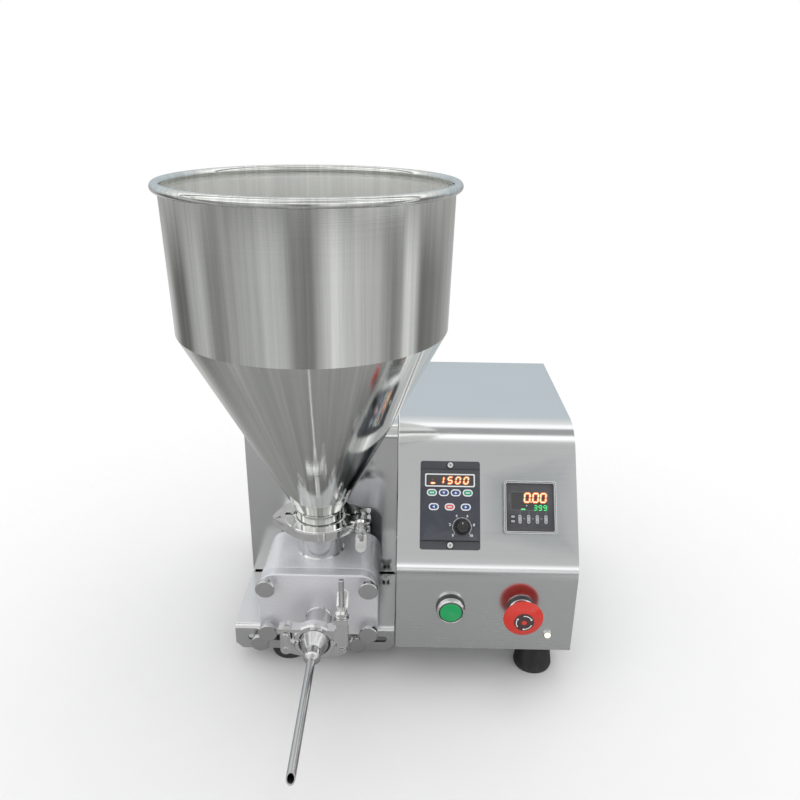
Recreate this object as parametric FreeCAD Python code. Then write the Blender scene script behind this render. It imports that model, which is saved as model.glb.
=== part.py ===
import FreeCAD, Part
import math
import os

from FreeCAD import Placement, Rotation, Vector

# Bench-top donut filler: a hopper clamped on a lobe pump, a gearmotor that drives the pump from
# behind, and a control cabinet at its side.  Millimetres.  The machine is modelled about the
# hopper's axis: X to the right, Y to the back, Z up from the table.  The row's origin is set at the
# end, under the middle of the machine's box.

# ---------------------------------------------------------------- driving dimensions
# base
foot_height = 43.0
foot_top_r = 15.0
foot_bottom_r = 20.5
foot_screw_r = 3.0
foot_recess_r = 8.0
foot_recess_depth = 12.0
base_sheet = 3.0            # heavy sheet that carries the pump and the motor
sheet = 1.5                 # cabinet and housing sheet

# hopper
hopper_sheet = 1.2
rim_outset = 1.7            # the rolled rim's centre, outside the wall
bead_r = 4.3
hopper_top_r = 132.0
hopper_shoulder_r = 129.0
hopper_wall_height = 131.0
hopper_cone_height = 201.0
neck_r = 25.5               # two-inch tube
neck_length = 15.5
inlet_tube_r = 24.0
inlet_length = 34.5
inlet_weld = 1.5

# lobe pump
pump_shift = 2.3            # the pump's middle, to the right of the hopper's axis
pump_width = 125.0
pump_height = 75.0
pump_back = 29.5
body_front = -30.0
ring_thickness = 11.5
cover_thickness = 12.5
pump_top_corner_r = 19.5
pump_bottom_corner_r = 9.0
body_step = 1.0             # the body's outline stands this far inside the cover's
shaft_spacing = 40.0
rotor_lobes = 3
rotor_clearance = 0.25
chamber_clearance = 0.3
chamber_back = 23.0
outlet_port_r = 11.2
outlet_drop = 16.0          # outlet axis below the shafts
shaft_r = 9.0
rotor_seat_r = 8.0
rotor_bolt_r = 6.5
rotor_bolt_head = 4.0
running_gap = 0.05
seal_r = 13.0
seal_thickness = 4.0
seal_section = 3.0

# studs and hand knobs
stud_spacing_x = 105.0
stud_spacing_z = 55.0
stud_drop = 0.8             # the studs' middle below the shafts
stud_r = 4.0
stud_seat = 16.0            # length held in the pump body
stud_hole_gap = 0.4
knob_r = 10.0
knob_thickness = 5.5
knob_stem_r = 6.0
knob_stem = 6.5
knob_blind = 3.0
knob_chamfer = 0.8

# gear case between the pump and the gearmotor
case_width = 100.0
case_height = 60.0
case_back = 74.0
lantern_back = 106.0
gear_module = 2.0
gear_teeth = 20
gear_width = 12.0
gear_backlash = 0.35
gear_front = 45.0
bearing_r = 15.0
bearing_width = 10.0
front_bearing = 31.5
rear_bearing = 61.0
coupling_r = 16.0
coupling_front = 77.0
coupling_length = 26.0
coupling_grip = 13.0        # length of shaft inside the coupling
shaft_tail = 1.0            # driven shaft behind its rear bearing
motor_shaft_r = 7.0
gearhead_size = 90.0
gearhead_length = 42.0
motor_length = 58.0
motor_r = 43.0
motor_offset = 17.0         # the gearhead's output sits below the motor's axis

# tray in front of the drive housing
tray_left = -90.0
tray_right = 81.5
flange_front = -42.0
flange_depth = 29.4
tray_bend_r = 5.0
tray_side_depth = 16.0
flange_corner = 7.0
slot_length = 43.0
slot_height = 7.5
slot_drop = 15.2            # slot centre below the tray's top
left_slot_x = -55.5
right_slot_x = 52.5
left_screw_x = -62.0
right_screw_x = 42.7
tray_screw_r = 9.5
tray_screw_stem = 6.0
tray_screw_thickness = 5.0
tray_thread_r = 3.0
wing_screw_r = 2.5
wing_collar_r = 4.0
side_bolt_r = 3.0
nut_plate_width = 19.0
nut_plate_height = 12.0
nut_plate_thickness = 6.0

# drive housing
housing_left = -89.0
housing_right = 81.5
housing_front = 58.0
housing_height = 191.0      # above the tray
housing_bend_r = 13.0
housing_gap = 2.0           # dark joint between the housing and the tray
rear_y = 215.0

# control cabinet
cabinet_left = 83.5
cabinet_right = 265.4
cabinet_height = 217.0      # above the feet
cabinet_front = -67.5
slope_top_y = 15.9          # where the slope's line meets the top's
slope_tilt = 35.0           # degrees from upright
cabinet_bend_r = 45.0

# speed controller, placed down the slope from its upper corner
controller_x = 136.4
controller_s = 82.2
controller_width = 60.5
controller_height = 89.0
controller_ear = 9.0
controller_ear_thickness = 2.6
controller_face = 5.0
controller_depth = 55.0
controller_window = (135.9, 57.6, 50.5, 13.3)
controller_dial = (148.1, 104.3)
controller_screws = (41.9, 122.3)
controller_screw_r = 1.4
dial_skirt_r = 8.0
dial_cap_r = 5.8
dial_height = 11.0
dial_shaft_r = 3.0
key_width = 10.2
key_height = 7.0
key_proud = 0.45
film = 0.5

# counter
counter_x = 216.4
counter_s = 83.4
counter_size = 48.0
counter_frame = 53.0
counter_face = 5.0
counter_frame_depth = 8.5
counter_depth = 60.0
counter_body = 44.8
counter_window_size = (37.0, 18.0)
counter_window_rise = 6.2

# push buttons on the upright front
button_rise = 51.2          # both buttons' axes above the feet
button_flange_r = 14.2
button_gasket = 2.5
button_gasket_r = 14.8
start_x = 138.9
start_face = 8.8            # bezel's front, out from the panel
start_cap_r = 10.9
start_lip = 1.1             # gap round the cap
start_travel = 3.5
button_hole_r = 11.1
button_barrel_r = 11.0
button_barrel = 34.0
estop_x = 211.0
estop_head_r = 20.0
estop_seat = 11.3           # head's underside, out from the panel
estop_widest = 14.6
estop_reach = 22.0
estop_travel = 4.5
estop_stem_r = 8.0
indicator_x = 240.0
indicator_rise = 20.5
indicator_r = 4.6

# spout
spout_tube_r = 12.7
spout_reach = 34.0          # cover face to the clamped joint
reducer_r = 8.5
reducer_cone = 14.0
reducer_barrel = 9.0
reducer_shoulder = 5.0
nozzle_r = 4.0
nozzle_bore_r = 3.0
nozzle_end = -257.3
nozzle_cut = 48.0           # degrees of the oblique tip

# power inlet on the cabinet's back
inlet_x = 226.0
inlet_rise = 37.0
inlet_width = 50.0
inlet_height = 27.0
inlet_flange = 3.0

# ferrules and clamps
ferrule_rim = 1.6
ferrule_angle = 20.0
gasket = 2.0
clamp_gap = 0.3
tube_wall = 1.5

# ---------------------------------------------------------------- derived places
rim_r = hopper_top_r + rim_outset
inlet_port_r = inlet_tube_r - tube_wall
tray_top = foot_height + base_sheet
flange_bottom = tray_top - flange_depth
housing_top = tray_top + housing_height
cabinet_top = foot_height + cabinet_height
start_z = foot_height + button_rise
estop_z = foot_height + button_rise
indicator_z = foot_height + indicator_rise
inlet_z = foot_height + inlet_rise
pump_bottom = tray_top
pump_top = pump_bottom + pump_height
pump_middle = pump_bottom + pump_height / 2
stud_middle = pump_middle - stud_drop
cover_back = body_front - ring_thickness
cover_front = cover_back - cover_thickness
shaft_x = shaft_spacing / 2
rotor_outer_r = shaft_x * (1 + 1 / rotor_lobes)
chamber_r = rotor_outer_r + chamber_clearance
hopper_joint_z = pump_top + inlet_length
neck_top_z = hopper_joint_z + neck_length
shoulder_z = neck_top_z + hopper_cone_height
rim_z = shoulder_z + hopper_wall_height
spout_z = pump_middle - outlet_drop
spout_joint_y = cover_front - spout_reach
motor_z = pump_middle + motor_offset
knob_front = cover_front - knob_stem - knob_thickness
slot_z = tray_top - slot_drop
wing_screw_place = (70.0, 42.0)
side_bolts = [(90.0, tray_top + 30), (190.0, tray_top + 30)]
feet = {
    "front_left": (-34.5, flange_front + 22.5),
    "front_right": (233.6, -35.5),
    "rear_left": (-58.0, 181.0),
    "rear_right": (231.5, 181.0),
}
stud_places = {
    "upper_left": (-stud_spacing_x / 2, stud_middle + stud_spacing_z / 2),
    "upper_right": (stud_spacing_x / 2, stud_middle + stud_spacing_z / 2),
    "lower_left": (-stud_spacing_x / 2, stud_middle - stud_spacing_z / 2),
    "lower_right": (stud_spacing_x / 2, stud_middle - stud_spacing_z / 2),
}

X_AXIS = Vector(1, 0, 0)
Y_AXIS = Vector(0, 1, 0)
Z_AXIS = Vector(0, 0, 1)


# ---------------------------------------------------------------- building blocks
def box(x0, x1, y0, y1, z0, z1):
    return Part.makeBox(x1 - x0, y1 - y0, z1 - z0, Vector(x0, y0, z0))


def rod_x(r, x0, x1, y, z):
    return Part.makeCylinder(r, x1 - x0, Vector(x0, y, z), X_AXIS)


def rod_y(r, y0, y1, x, z):
    return Part.makeCylinder(r, y1 - y0, Vector(x, y0, z), Y_AXIS)


def rod_z(r, z0, z1, x=0.0, y=0.0):
    return Part.makeCylinder(r, z1 - z0, Vector(x, y, z0), Z_AXIS)


def fuse(shapes):
    first, *rest = shapes
    return first.multiFuse(rest).removeSplitter() if rest else first


def cut(shape, tools):
    return shape.cut(Part.makeCompound(tools))


def face_of(points):
    """Flat face from a list of points and ("arc", through, end) steps."""
    edges = []
    here = points[0]
    for step in points[1:] + [points[0]]:
        if isinstance(step, tuple):
            edges.append(Part.Arc(here, step[1], step[2]).toShape())
            here = step[2]
        elif (step - here).Length > 1e-6:
            edges.append(Part.makeLine(here, step))
            here = step
    return Part.Face(Part.Wire(edges))


def revolve_z(profile, angle=360.0):
    """Turn a profile of (radius, height) pairs about the Z axis."""
    return face_of([Vector(r, 0, z) for r, z in profile]).revolve(Vector(0, 0, 0), Z_AXIS, angle)


def turned_y(profile, x, z):
    """Turn a profile of (radius, y) pairs about an axis along Y."""
    solid = face_of([Vector(r, y, 0) for r, y in profile]).revolve(Vector(0, 0, 0), Y_AXIS, 360)
    solid.translate(Vector(x, 0, z))
    return solid


def rounded_plate(width, height, corner, w0, w1):
    """Plate with round corners, centred in its own XY plane, from w0 to w1 in Z."""
    plate = box(-width / 2, width / 2, -height / 2, height / 2, w0, w1)
    upright = [e for e in plate.Edges if abs(e.tangentAt(e.FirstParameter).z) > 0.99]
    return plate.makeFillet(corner, upright)


def dome(r, z, top):
    """Spherical cap as an arc step, from radius r at height z to the axis."""
    rise = top - z
    ball_r = (r * r + rise * rise) / (2 * rise)
    half = math.asin(r / ball_r) / 2
    return ("arc", Vector(ball_r * math.sin(half), 0, top - ball_r + ball_r * math.cos(half)),
            Vector(0, 0, top))


def oval(width, height, w0, w1):
    """Stadium outline, centred, with its long side along X or Y."""
    r = min(width, height) / 2
    half_x = width / 2 - r
    half_y = height / 2 - r
    ends = [rod_z(r, w0, w1, -half_x, -half_y), rod_z(r, w0, w1, half_x, half_y)]
    if half_x > half_y:
        middle = box(-half_x, half_x, -r, r, w0, w1)
    else:
        middle = box(-r, r, -half_y, half_y, w0, w1)
    return fuse([middle] + ends)


def lug(p, rp, q, rq, z0, z1):
    """Flat lug in the XY plane that tapers from round end p, rp to round end q, rq."""
    length = math.hypot(q[0] - p[0], q[1] - p[1])
    along = math.atan2(q[1] - p[1], q[0] - p[0])
    spread = math.acos((rp - rq) / length)
    corners = []
    for centre, r, turn in ((p, rp, spread), (q, rq, spread), (q, rq, -spread), (p, rp, -spread)):
        corners.append(Vector(centre[0] + r * math.cos(along + turn),
                              centre[1] + r * math.sin(along + turn), z0))
    middle = face_of(corners).extrude(Vector(0, 0, z1 - z0))
    return fuse([middle, rod_z(rp, z0, z1, *p), rod_z(rq, z0, z1, *q)])


def bar(p, q, width, z0, z1):
    """Flat bar with round ends from point p to point q of the XY plane."""
    return lug(p, width / 2, q, width / 2, z0, z1)


def placed(shape, placement):
    moved = shape.copy()
    moved.Placement = placement.multiply(moved.Placement)
    return moved


def on_slope(x, s):
    """Frame on the sloped panel: X right, Y up the slope, Z out of the panel."""
    tilt = math.radians(slope_tilt)
    place = Vector(x, slope_top_y - s * math.sin(tilt), cabinet_top - s * math.cos(tilt))
    return Placement(place, Rotation(X_AXIS, 90.0 - slope_tilt))


def on_front(x, z):
    """Frame on the cabinet's upright front: X right, Y up, Z out towards the user."""
    return Placement(Vector(x, cabinet_front, z), Rotation(X_AXIS, 90.0))


# ---------------------------------------------------------------- ferrules and clamps
def ferrule(tube_r, flange_r, bore_r, depth):
    """Clamp ferrule about Z: its sealing face at z = 0, its tube towards +Z."""
    slope = (flange_r - tube_r) * math.tan(math.radians(ferrule_angle))
    shoulder = ferrule_rim + slope
    return revolve_z([(bore_r, 0), (flange_r, 0), (flange_r, ferrule_rim),
                      (tube_r, shoulder), (tube_r, depth), (bore_r, depth)])


class Clamp:
    """Two-part ring clamp in its own frame: ring axis Z, hinge at -X, bolt at +X.

    The fixed half lies at +Y and the swinging half at -Y.
    """

    def __init__(self, tube_r, flange_r, lip_r, ring_r, ring_height, hinge, bolt_pin, seat_y,
                 fork_reach, fork_height, bolt_r, bolt_length, nut_r, bolt_relief):
        self.tube_r = tube_r
        self.flange_r = flange_r
        self.ring_r = ring_r
        self.ring_height = ring_height
        self.hinge = hinge
        self.bolt_pin = bolt_pin
        self.seat_y = seat_y
        self.fork_reach = fork_reach
        self.fork_height = fork_height
        self.bolt_r = bolt_r
        self.bolt_length = bolt_length
        self.nut_r = nut_r
        self.lip_r = lip_r
        self.split = 1.5
        self.hinge_relief = 1.5
        self.bolt_relief = bolt_relief
        self.pin_r = 2.2
        self.eye_half = 2.6
        self.seat_r = bolt_pin[1] - seat_y

    def ring_half(self, side):
        """Half ring with a V groove; side is +1 for the fixed half."""
        half = self.ring_height / 2
        slope = math.tan(math.radians(ferrule_angle))
        groove_r = self.flange_r + clamp_gap
        at_rim = gasket / 2 + ferrule_rim + clamp_gap
        at_lip = at_rim + (self.flange_r - self.lip_r) * slope
        edge = 1.6
        profile = [(self.lip_r, half), (self.lip_r, at_lip), (groove_r, at_rim),
                   (groove_r, -at_rim), (self.lip_r, -at_lip), (self.lip_r, -half),
                   (self.ring_r - edge, -half), (self.ring_r, -half + edge),
                   (self.ring_r, half - edge), (self.ring_r - edge, half)]
        ring = revolve_z(profile)
        far = self.ring_r * 2
        low, high = (self.split, far) if side > 0 else (-far, -self.split)
        ring = ring.common(box(-far, far, low, high, -far, far))
        if side < 0:
            ring = ring.cut(box(-far, -self.ring_r / 2, -self.split - self.hinge_relief, 0, -far, far))
            ring = ring.cut(box(self.ring_r / 2, far, -self.split - self.bolt_relief, 0, -far, far))
        return ring

    def anchor(self, degrees):
        r = self.ring_r - 3.0
        return (r * math.cos(math.radians(degrees)), r * math.sin(math.radians(degrees)))

    def core(self):
        """Space inside the ring that ears must stay out of."""
        return rod_z(self.ring_r - 1.5, -60, 60)

    def other_half(self, side):
        """Space of the other half's ring, which the ears of this half stay out of."""
        reach = self.ring_r + 1.0
        low, high = (-reach, self.split) if side > 0 else (-self.split, reach)
        return rod_z(reach, -60, 60).common(box(-reach, reach, low, high, -60, 60))

    def eye_slot(self):
        """Slot for the bolt's eye and for its swing."""
        inner = self.ring_r + 1.2
        return box(inner, inner + 60, -60, 60, -self.eye_half - 0.3, self.eye_half + 0.3)

    def web(self, pin, eye_r, side, height):
        """Flat web of one half, tangent to an eye round a pin and to the ring."""
        reach = self.ring_r * 2
        low, high = (self.split, reach) if side > 0 else (-reach, -self.split)
        outline = lug(pin, eye_r, (0.0, 0.0), self.ring_r - 0.2, -height / 2, height / 2)
        side_of_pin = (0, reach) if pin[0] > 0 else (-reach, 0)
        return cut(outline.common(box(*side_of_pin, low, high, -60, 60)), [self.core()])

    def bolt_ear(self, front, back):
        """Double lug of the fixed half that holds the bolt's pin."""
        half = self.ring_height / 2
        x, y = self.bolt_pin
        end = box(x - 7.0, x + self.fork_reach, y - front, y + back, -half, half)
        upright = [e for e in end.Edges if abs(e.tangentAt(e.FirstParameter).z) > 0.99
                   and e.BoundBox.XMin > x]
        end = end.makeFillet(front * 0.6, upright)
        arm = lug(self.bolt_pin, front, self.anchor(26), back, -half, half)
        ear = cut(fuse([arm, end]), [self.core(), self.other_half(1), self.eye_slot()])
        return cut(ear, [rod_z(self.pin_r, -60, 60, *self.bolt_pin)])

    def swing_bolt(self, flat=0.0):
        """Eye bolt on its pin, pointing to -Y."""
        x, y = self.bolt_pin
        eye_r = self.pin_r + 2.4
        eye = rod_z(eye_r, -self.eye_half, self.eye_half, x, y)
        shank = rod_y(self.bolt_r, y - self.bolt_length, y - eye_r + 1.0, x, 0)
        end = y - self.bolt_length + 0.01
        tip = shank.makeChamfer(0.6, [e for e in shank.Edges if e.BoundBox.YMax < end])
        parts = [eye, tip]
        if flat:
            parts.append(box(x - eye_r, x + eye_r, y - flat, y, -self.eye_half, self.eye_half))
        return cut(fuse(parts), [rod_z(self.pin_r + running_gap, -60, 60, x, y)])

    def wing_nut(self, turn):
        """Cast wing nut on the bolt; turn sets its wings about the bolt's axis."""
        x = self.bolt_pin[0]
        seat = self.seat_y - clamp_gap
        hub_length = 9.0
        hub = face_of([Vector(self.bolt_r + running_gap, 0, 0), Vector(self.nut_r, 0, 0),
                       Vector(self.nut_r, -2.5, 0), Vector(self.nut_r - 1.2, -hub_length, 0),
                       Vector(self.bolt_r + running_gap, -hub_length, 0)])
        hub = hub.revolve(Vector(0, 0, 0), Y_AXIS, 360)
        wings = []
        for side in (-1, 1):
            tongue = oval(11.5, 22.0, -1.5, 1.5)
            tongue.translate(Vector(0, 8.0, 0))
            lean = Placement(Vector(0, -5.0, side * 5.0), Rotation(X_AXIS, 180.0 - side * 48.0))
            wings.append(placed(tongue, lean))
        bore = rod_y(self.bolt_r + running_gap, -60, 60, 0, 0)
        nut = cut(fuse([hub] + wings), [bore])
        nut.Placement = Placement(Vector(x, seat, 0), Rotation(Y_AXIS, turn))
        return nut

    def pin(self, place, half_length):
        """Rivet pin with a low head at each end."""
        shank = rod_z(self.pin_r, -half_length, half_length, *place)
        heads = [rod_z(self.pin_r + 0.9, half_length, half_length + 0.9, *place),
                 rod_z(self.pin_r + 0.9, -half_length - 0.9, -half_length, *place)]
        return fuse([shank] + heads)


class HopperClamp(Clamp):
    """Two-inch clamp: one hinge pin, fork arms above and below the bolt."""

    knuckle = 2.4               # half height of the swinging half's eye
    eye_r = 5.0
    fork_root = (33.0, -13.5)   # middle of the fork's root on the ring
    fork_root_r = 6.6

    def plates(self, grow, inner, outer):
        """Two ear plates of the fixed half, above and below the knuckle."""
        return [lug(self.hinge, self.eye_r + grow, self.anchor(158), 9.5 + grow, *levels)
                for levels in ((-outer, -inner), (inner, outer))]

    def eye(self, grow, half):
        """Knuckle of the swinging half."""
        return lug(self.hinge, self.eye_r - 0.2 + grow, self.anchor(203), 8.0 + grow, -half, half)

    def fixed_half(self):
        top = self.ring_height / 2 - 0.6
        ears = [self.web(self.hinge, self.eye_r, 1, 2 * top)]
        ears += self.plates(0.0, self.knuckle + clamp_gap, top)
        ears = cut(fuse(ears), [self.core(), self.eye(clamp_gap, self.knuckle + clamp_gap)])
        body = fuse([self.ring_half(1), self.bolt_ear(4.0, 6.4), ears])
        return cut(body, [rod_z(self.pin_r, -60, 60, *self.hinge)])

    def swinging_half(self):
        x, y = self.bolt_pin
        top = self.ring_height / 2 - 0.6
        fork = box(self.anchor(-24)[0], x + self.fork_reach, self.seat_y - 1.0, self.seat_y + 8.6,
                   -self.fork_height / 2, self.fork_height / 2)
        rounded = [e for e in fork.Edges if abs(e.tangentAt(e.FirstParameter).x) > 0.99]
        fork = fork.makeFillet(1.5, rounded)
        fork = cut(fork, [self.core()]).common(rod_z(self.seat_r, -60, 60, x, y))
        slot = box(x - self.bolt_r - 0.5, x + 60, -60, 60, -self.bolt_r - 0.4, self.bolt_r + 0.4)
        ears = fuse([self.web(self.hinge, self.eye_r, -1, 2 * top),
                     self.web(self.fork_root, self.fork_root_r, -1, 2 * top),
                     cut(self.eye(0.0, self.knuckle), [self.core(), self.other_half(-1)])])
        body = fuse([self.ring_half(-1), cut(fork, [slot]), ears])
        return cut(body, self.plates(clamp_gap, self.knuckle, top + 1.0)
                   + [rod_z(self.pin_r + running_gap, -60, 60, *self.hinge)])


class SpoutClamp(Clamp):
    """Small clamp: a two-pin link at the hinge, a tall bracket under the wing nut."""

    link_pin_y = -7.4
    cheek_end = 3.2
    bracket_inner = 3.4
    bracket_outer = 6.2
    bracket_left = 22.4
    link_width = 10.4
    web_top = 16.0              # web between ring and bracket, above the ring's axis
    bolt_flat = 14.0            # flat root of the swing bolt

    def fixed_half(self):
        eye = fuse([self.web(self.hinge, 4.6, 1, 7.2), rod_z(4.6, -3.6, 3.6, *self.hinge)])
        x, y = self.bolt_pin
        top = self.ring_height / 2 - 0.5
        ear = fuse([self.web(self.bolt_pin, 4.6, 1, 2 * top), rod_z(4.6, -top, top, x, y)])
        cheeks = box(self.bracket_left - 1.0, 60, -60, self.cheek_end + 0.6, -60, 60)
        ear = cut(ear, [self.eye_slot(), cheeks])
        body = fuse([self.ring_half(1), eye, ear])
        return cut(body, [rod_z(self.pin_r, -60, 60, *place) for place in (self.hinge, self.bolt_pin)])

    def link(self):
        """Two link plates and the rivet that fixes them to the swinging half."""
        upper = (self.hinge[0], self.link_pin_y)
        plates = []
        for z0, z1 in ((3.9, 5.9), (-5.9, -3.9)):
            plate = bar(self.hinge, upper, self.link_width, z0, z1)
            plates.append(cut(plate, [rod_z(self.pin_r, -60, 60, *upper),
                                      rod_z(self.pin_r + running_gap, -60, 60, *self.hinge)]))
        return plates + [self.pin(upper, 5.9)]

    def swinging_half(self):
        x, y = self.bolt_pin
        upper = (self.hinge[0], self.link_pin_y)
        level = self.link_pin_y - self.link_width / 2 - clamp_gap
        eye = bar(upper, (self.hinge[0], level - 0.5), 8.4, -3.6, 3.6)
        shelf = box(self.hinge[0] - 7.0, -self.ring_r * 0.6, level - 3.4, level, -5.5, 5.5)
        boss = rod_z(4.4, -3.0, 3.0, self.hinge[0] + 2.0, level - 3.4)
        left = cut(fuse([eye, shelf, boss]), [self.core()])
        right = x + self.fork_reach
        block = box(x - self.fork_reach - 1.0, right, self.seat_y - 1.0, self.seat_y + 6.0,
                    -self.fork_height / 2, self.fork_height / 2)
        block = block.common(rod_z(self.seat_r, -60, 60, x, y))
        cheeks = [box(self.bracket_left, right - 0.8, self.seat_y + 3.0, self.cheek_end, z0, z1)
                  for z0, z1 in ((self.bracket_inner, self.bracket_outer),
                                 (-self.bracket_outer, -self.bracket_inner))]
        web = box(self.ring_r * 0.6, self.bracket_left + 0.4, -self.web_top, -self.split,
                  -self.bracket_outer, self.bracket_outer)
        web = cut(web, [self.core()])
        slot = box(x - self.bolt_r - 0.6, x + 60, -60, 60, -self.bolt_r - 0.4, self.bolt_r + 0.4)
        body = fuse([self.ring_half(-1), cut(fuse([block, web] + cheeks), [slot]), left])
        return cut(body, [rod_z(self.pin_r, -60, 60, *upper)])


hopper_clamp = HopperClamp(tube_r=neck_r, flange_r=32.0, lip_r=28.0, ring_r=38.5, ring_height=11.0,
                           hinge=(-44.6, -4.7), bolt_pin=(45.6, 7.2), seat_y=-17.0,
                           fork_reach=8.4, fork_height=12.4, bolt_r=2.8, bolt_length=42.0, nut_r=6.2,
                           bolt_relief=0.5)
spout_clamp = SpoutClamp(tube_r=spout_tube_r, flange_r=18.6, lip_r=16.5, ring_r=21.6, ring_height=11.0,
                         hinge=(-29.0, 8.9), bolt_pin=(27.6, 9.2), seat_y=-30.0,
                         fork_reach=6.8, fork_height=13.6, bolt_r=2.8, bolt_length=82.0, nut_r=6.2,
                         bolt_relief=5.0)
hopper_clamp_place = Placement(Vector(0, 0, hopper_joint_z), Rotation())
spout_clamp_place = Placement(Vector(pump_shift, spout_joint_y, spout_z), Rotation(X_AXIS, -90.0))


# ---------------------------------------------------------------- hopper and inlet
def hopper():
    t = hopper_sheet
    top = rim_z - bead_r * 0.3
    cone_lift = t * 0.5
    outer = [(neck_r, neck_top_z), (hopper_shoulder_r, shoulder_z), (hopper_top_r, top)]
    inner = [(hopper_top_r - t, top), (hopper_shoulder_r - t, shoulder_z + cone_lift),
             (neck_r - tube_wall, neck_top_z + cone_lift)]
    wall = revolve_z(outer + inner)
    neck = ferrule(neck_r, hopper_clamp.flange_r, neck_r - tube_wall, neck_length + cone_lift - gasket / 2)
    neck.translate(Vector(0, 0, hopper_joint_z + gasket / 2))
    rim = Part.makeTorus(rim_r, bead_r, Vector(0, 0, rim_z), Z_AXIS)
    return fuse([wall, neck, rim])


def inlet_tube():
    seat = pump_top - body_step
    flange = ferrule(inlet_tube_r, hopper_clamp.flange_r, inlet_port_r,
                     hopper_joint_z - gasket / 2 - seat)
    flange.Placement = Placement(Vector(0, 0, hopper_joint_z - gasket / 2), Rotation(X_AXIS, 180))
    seam = revolve_z([(inlet_tube_r, seat), (inlet_tube_r + inlet_weld, seat),
                      (inlet_tube_r, seat + inlet_weld)])
    return fuse([flange, seam])


def ferrule_gaskets():
    upper = revolve_z([(neck_r - tube_wall, -gasket / 2), (hopper_clamp.flange_r - 1.5, -gasket / 2),
                       (hopper_clamp.flange_r - 1.5, gasket / 2), (neck_r - tube_wall, gasket / 2)])
    lower = revolve_z([(spout_tube_r - tube_wall, -gasket / 2), (spout_clamp.flange_r - 1.2, -gasket / 2),
                       (spout_clamp.flange_r - 1.2, gasket / 2), (spout_tube_r - tube_wall, gasket / 2)])
    return [placed(upper, hopper_clamp_place), placed(lower, spout_clamp_place)]


# ---------------------------------------------------------------- pump
def pump_outline(inset, y0, y1):
    """Slab of the pump's front outline, round at its corners, from y0 to y1."""
    slab = box(-pump_width / 2 + inset, pump_width / 2 - inset, y0, y1,
               pump_bottom, pump_top - inset)
    along = [e for e in slab.Edges if abs(e.tangentAt(e.FirstParameter).y) > 0.99]
    top = [e for e in along if e.CenterOfMass.z > pump_middle]
    slab = slab.makeFillet(pump_top_corner_r - inset, top)
    bottom = [e for e in slab.Edges
              if abs(e.CenterOfMass.z - pump_bottom) < 1e-3 and e.BoundBox.XLength < 1e-3]
    return slab.makeFillet(pump_bottom_corner_r - inset, bottom)


def chamber(y0, y1):
    """Space swept by both rotors, with the outlet gallery below and between them."""
    bores = [rod_y(chamber_r, y0, y1, side * shaft_x, pump_middle) for side in (-1, 1)]
    gallery = rod_y(outlet_port_r + 1.5, y0, y1, 0, spout_z)
    throat = box(-shaft_x, shaft_x, y0, y1, pump_middle, pump_middle + chamber_r * 0.75)
    return fuse(bores + [gallery, throat])


def stud_holes(r, y0, y1):
    return [rod_y(r, y0, y1, x, z) for x, z in stud_places.values()]


def pump_body():
    body = pump_outline(body_step, body_front, pump_back)
    edge = [e for e in body.Edges if abs(e.CenterOfMass.y - pump_back) < 1e-3
            and e.BoundBox.YLength < 1e-3]
    body = body.makeChamfer(0.8, edge)
    cuts = [chamber(body_front, chamber_back), rod_z(inlet_port_r, pump_middle, pump_top, -pump_shift)]
    for side in (-1, 1):
        cuts.append(rod_y(shaft_r + 0.4, chamber_back, pump_back, side * shaft_x, pump_middle))
        cuts.append(rod_y(seal_r, pump_back - seal_thickness, pump_back, side * shaft_x, pump_middle))
    cuts += stud_holes(stud_r, body_front, body_front + stud_seat)
    return cut(body, cuts)


def pump_case_ring():
    plate = pump_outline(0.0, cover_back, body_front)
    rounded = [e for e in plate.Edges if e.BoundBox.YLength < 1e-3]
    plate = plate.makeChamfer(0.6, rounded)
    seal = seal_band(cover_back, cover_back + seal_section)
    return cut(plate, [chamber(cover_back, body_front), seal]
               + stud_holes(stud_r + stud_hole_gap, cover_back, body_front))


def pump_cover():
    plate = pump_outline(0.0, cover_front, cover_back)
    front = [e for e in plate.Edges if e.BoundBox.YMax < cover_front + 1e-3]
    plate = plate.makeFillet(1.6, front)
    return cut(plate, [rod_y(outlet_port_r, cover_front, cover_back, 0, spout_z)]
               + stud_holes(stud_r + stud_hole_gap, cover_front, cover_back))


def seal_band(y0, y1):
    """Square-section seal round the chamber, in the case ring's face."""
    inner = chamber_r + 3.0
    outer = inner + seal_section
    bands = []
    for r in (outer, inner):
        ends = [rod_y(r, y0, y1, side * shaft_x, pump_middle) for side in (-1, 1)]
        middle = box(-shaft_x, shaft_x, y0, y1, pump_middle - r, pump_middle + r)
        bands.append(fuse([middle] + ends))
    return bands[0].cut(bands[1])


def pump_seals():
    lips = [turned_y([(shaft_r + running_gap, pump_back - seal_thickness),
                      (seal_r, pump_back - seal_thickness), (seal_r, pump_back),
                      (shaft_r + running_gap, pump_back)], side * shaft_x, pump_middle)
            for side in (-1, 1)]
    return [seal_band(cover_back, cover_back + seal_section)] + lips


def cover_studs():
    end = knob_front + knob_blind
    return [rod_y(stud_r, end, body_front + stud_seat, x, z) for x, z in stud_places.values()]


def hand_knob(x, z, face, stem_end, disc_r, thickness, stem_r, bore_r, bore_start):
    """Round hand knob: disc to the front, stem behind it, blind bore from the back."""
    profile = [(0, face), (disc_r - knob_chamfer, face), (disc_r, face + knob_chamfer),
               (disc_r, face + thickness - knob_chamfer), (disc_r - knob_chamfer, face + thickness),
               (stem_r, face + thickness), (stem_r, stem_end), (0, stem_end)]
    knob = turned_y(profile, x, z)
    return cut(knob, [rod_y(bore_r, bore_start, stem_end + 1, x, z)])


def cover_knob(name):
    x, z = stud_places[name]
    return hand_knob(x, z, knob_front, cover_front, knob_r, knob_thickness, knob_stem_r,
                     stud_r + running_gap, knob_front + knob_blind - 0.3)


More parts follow.
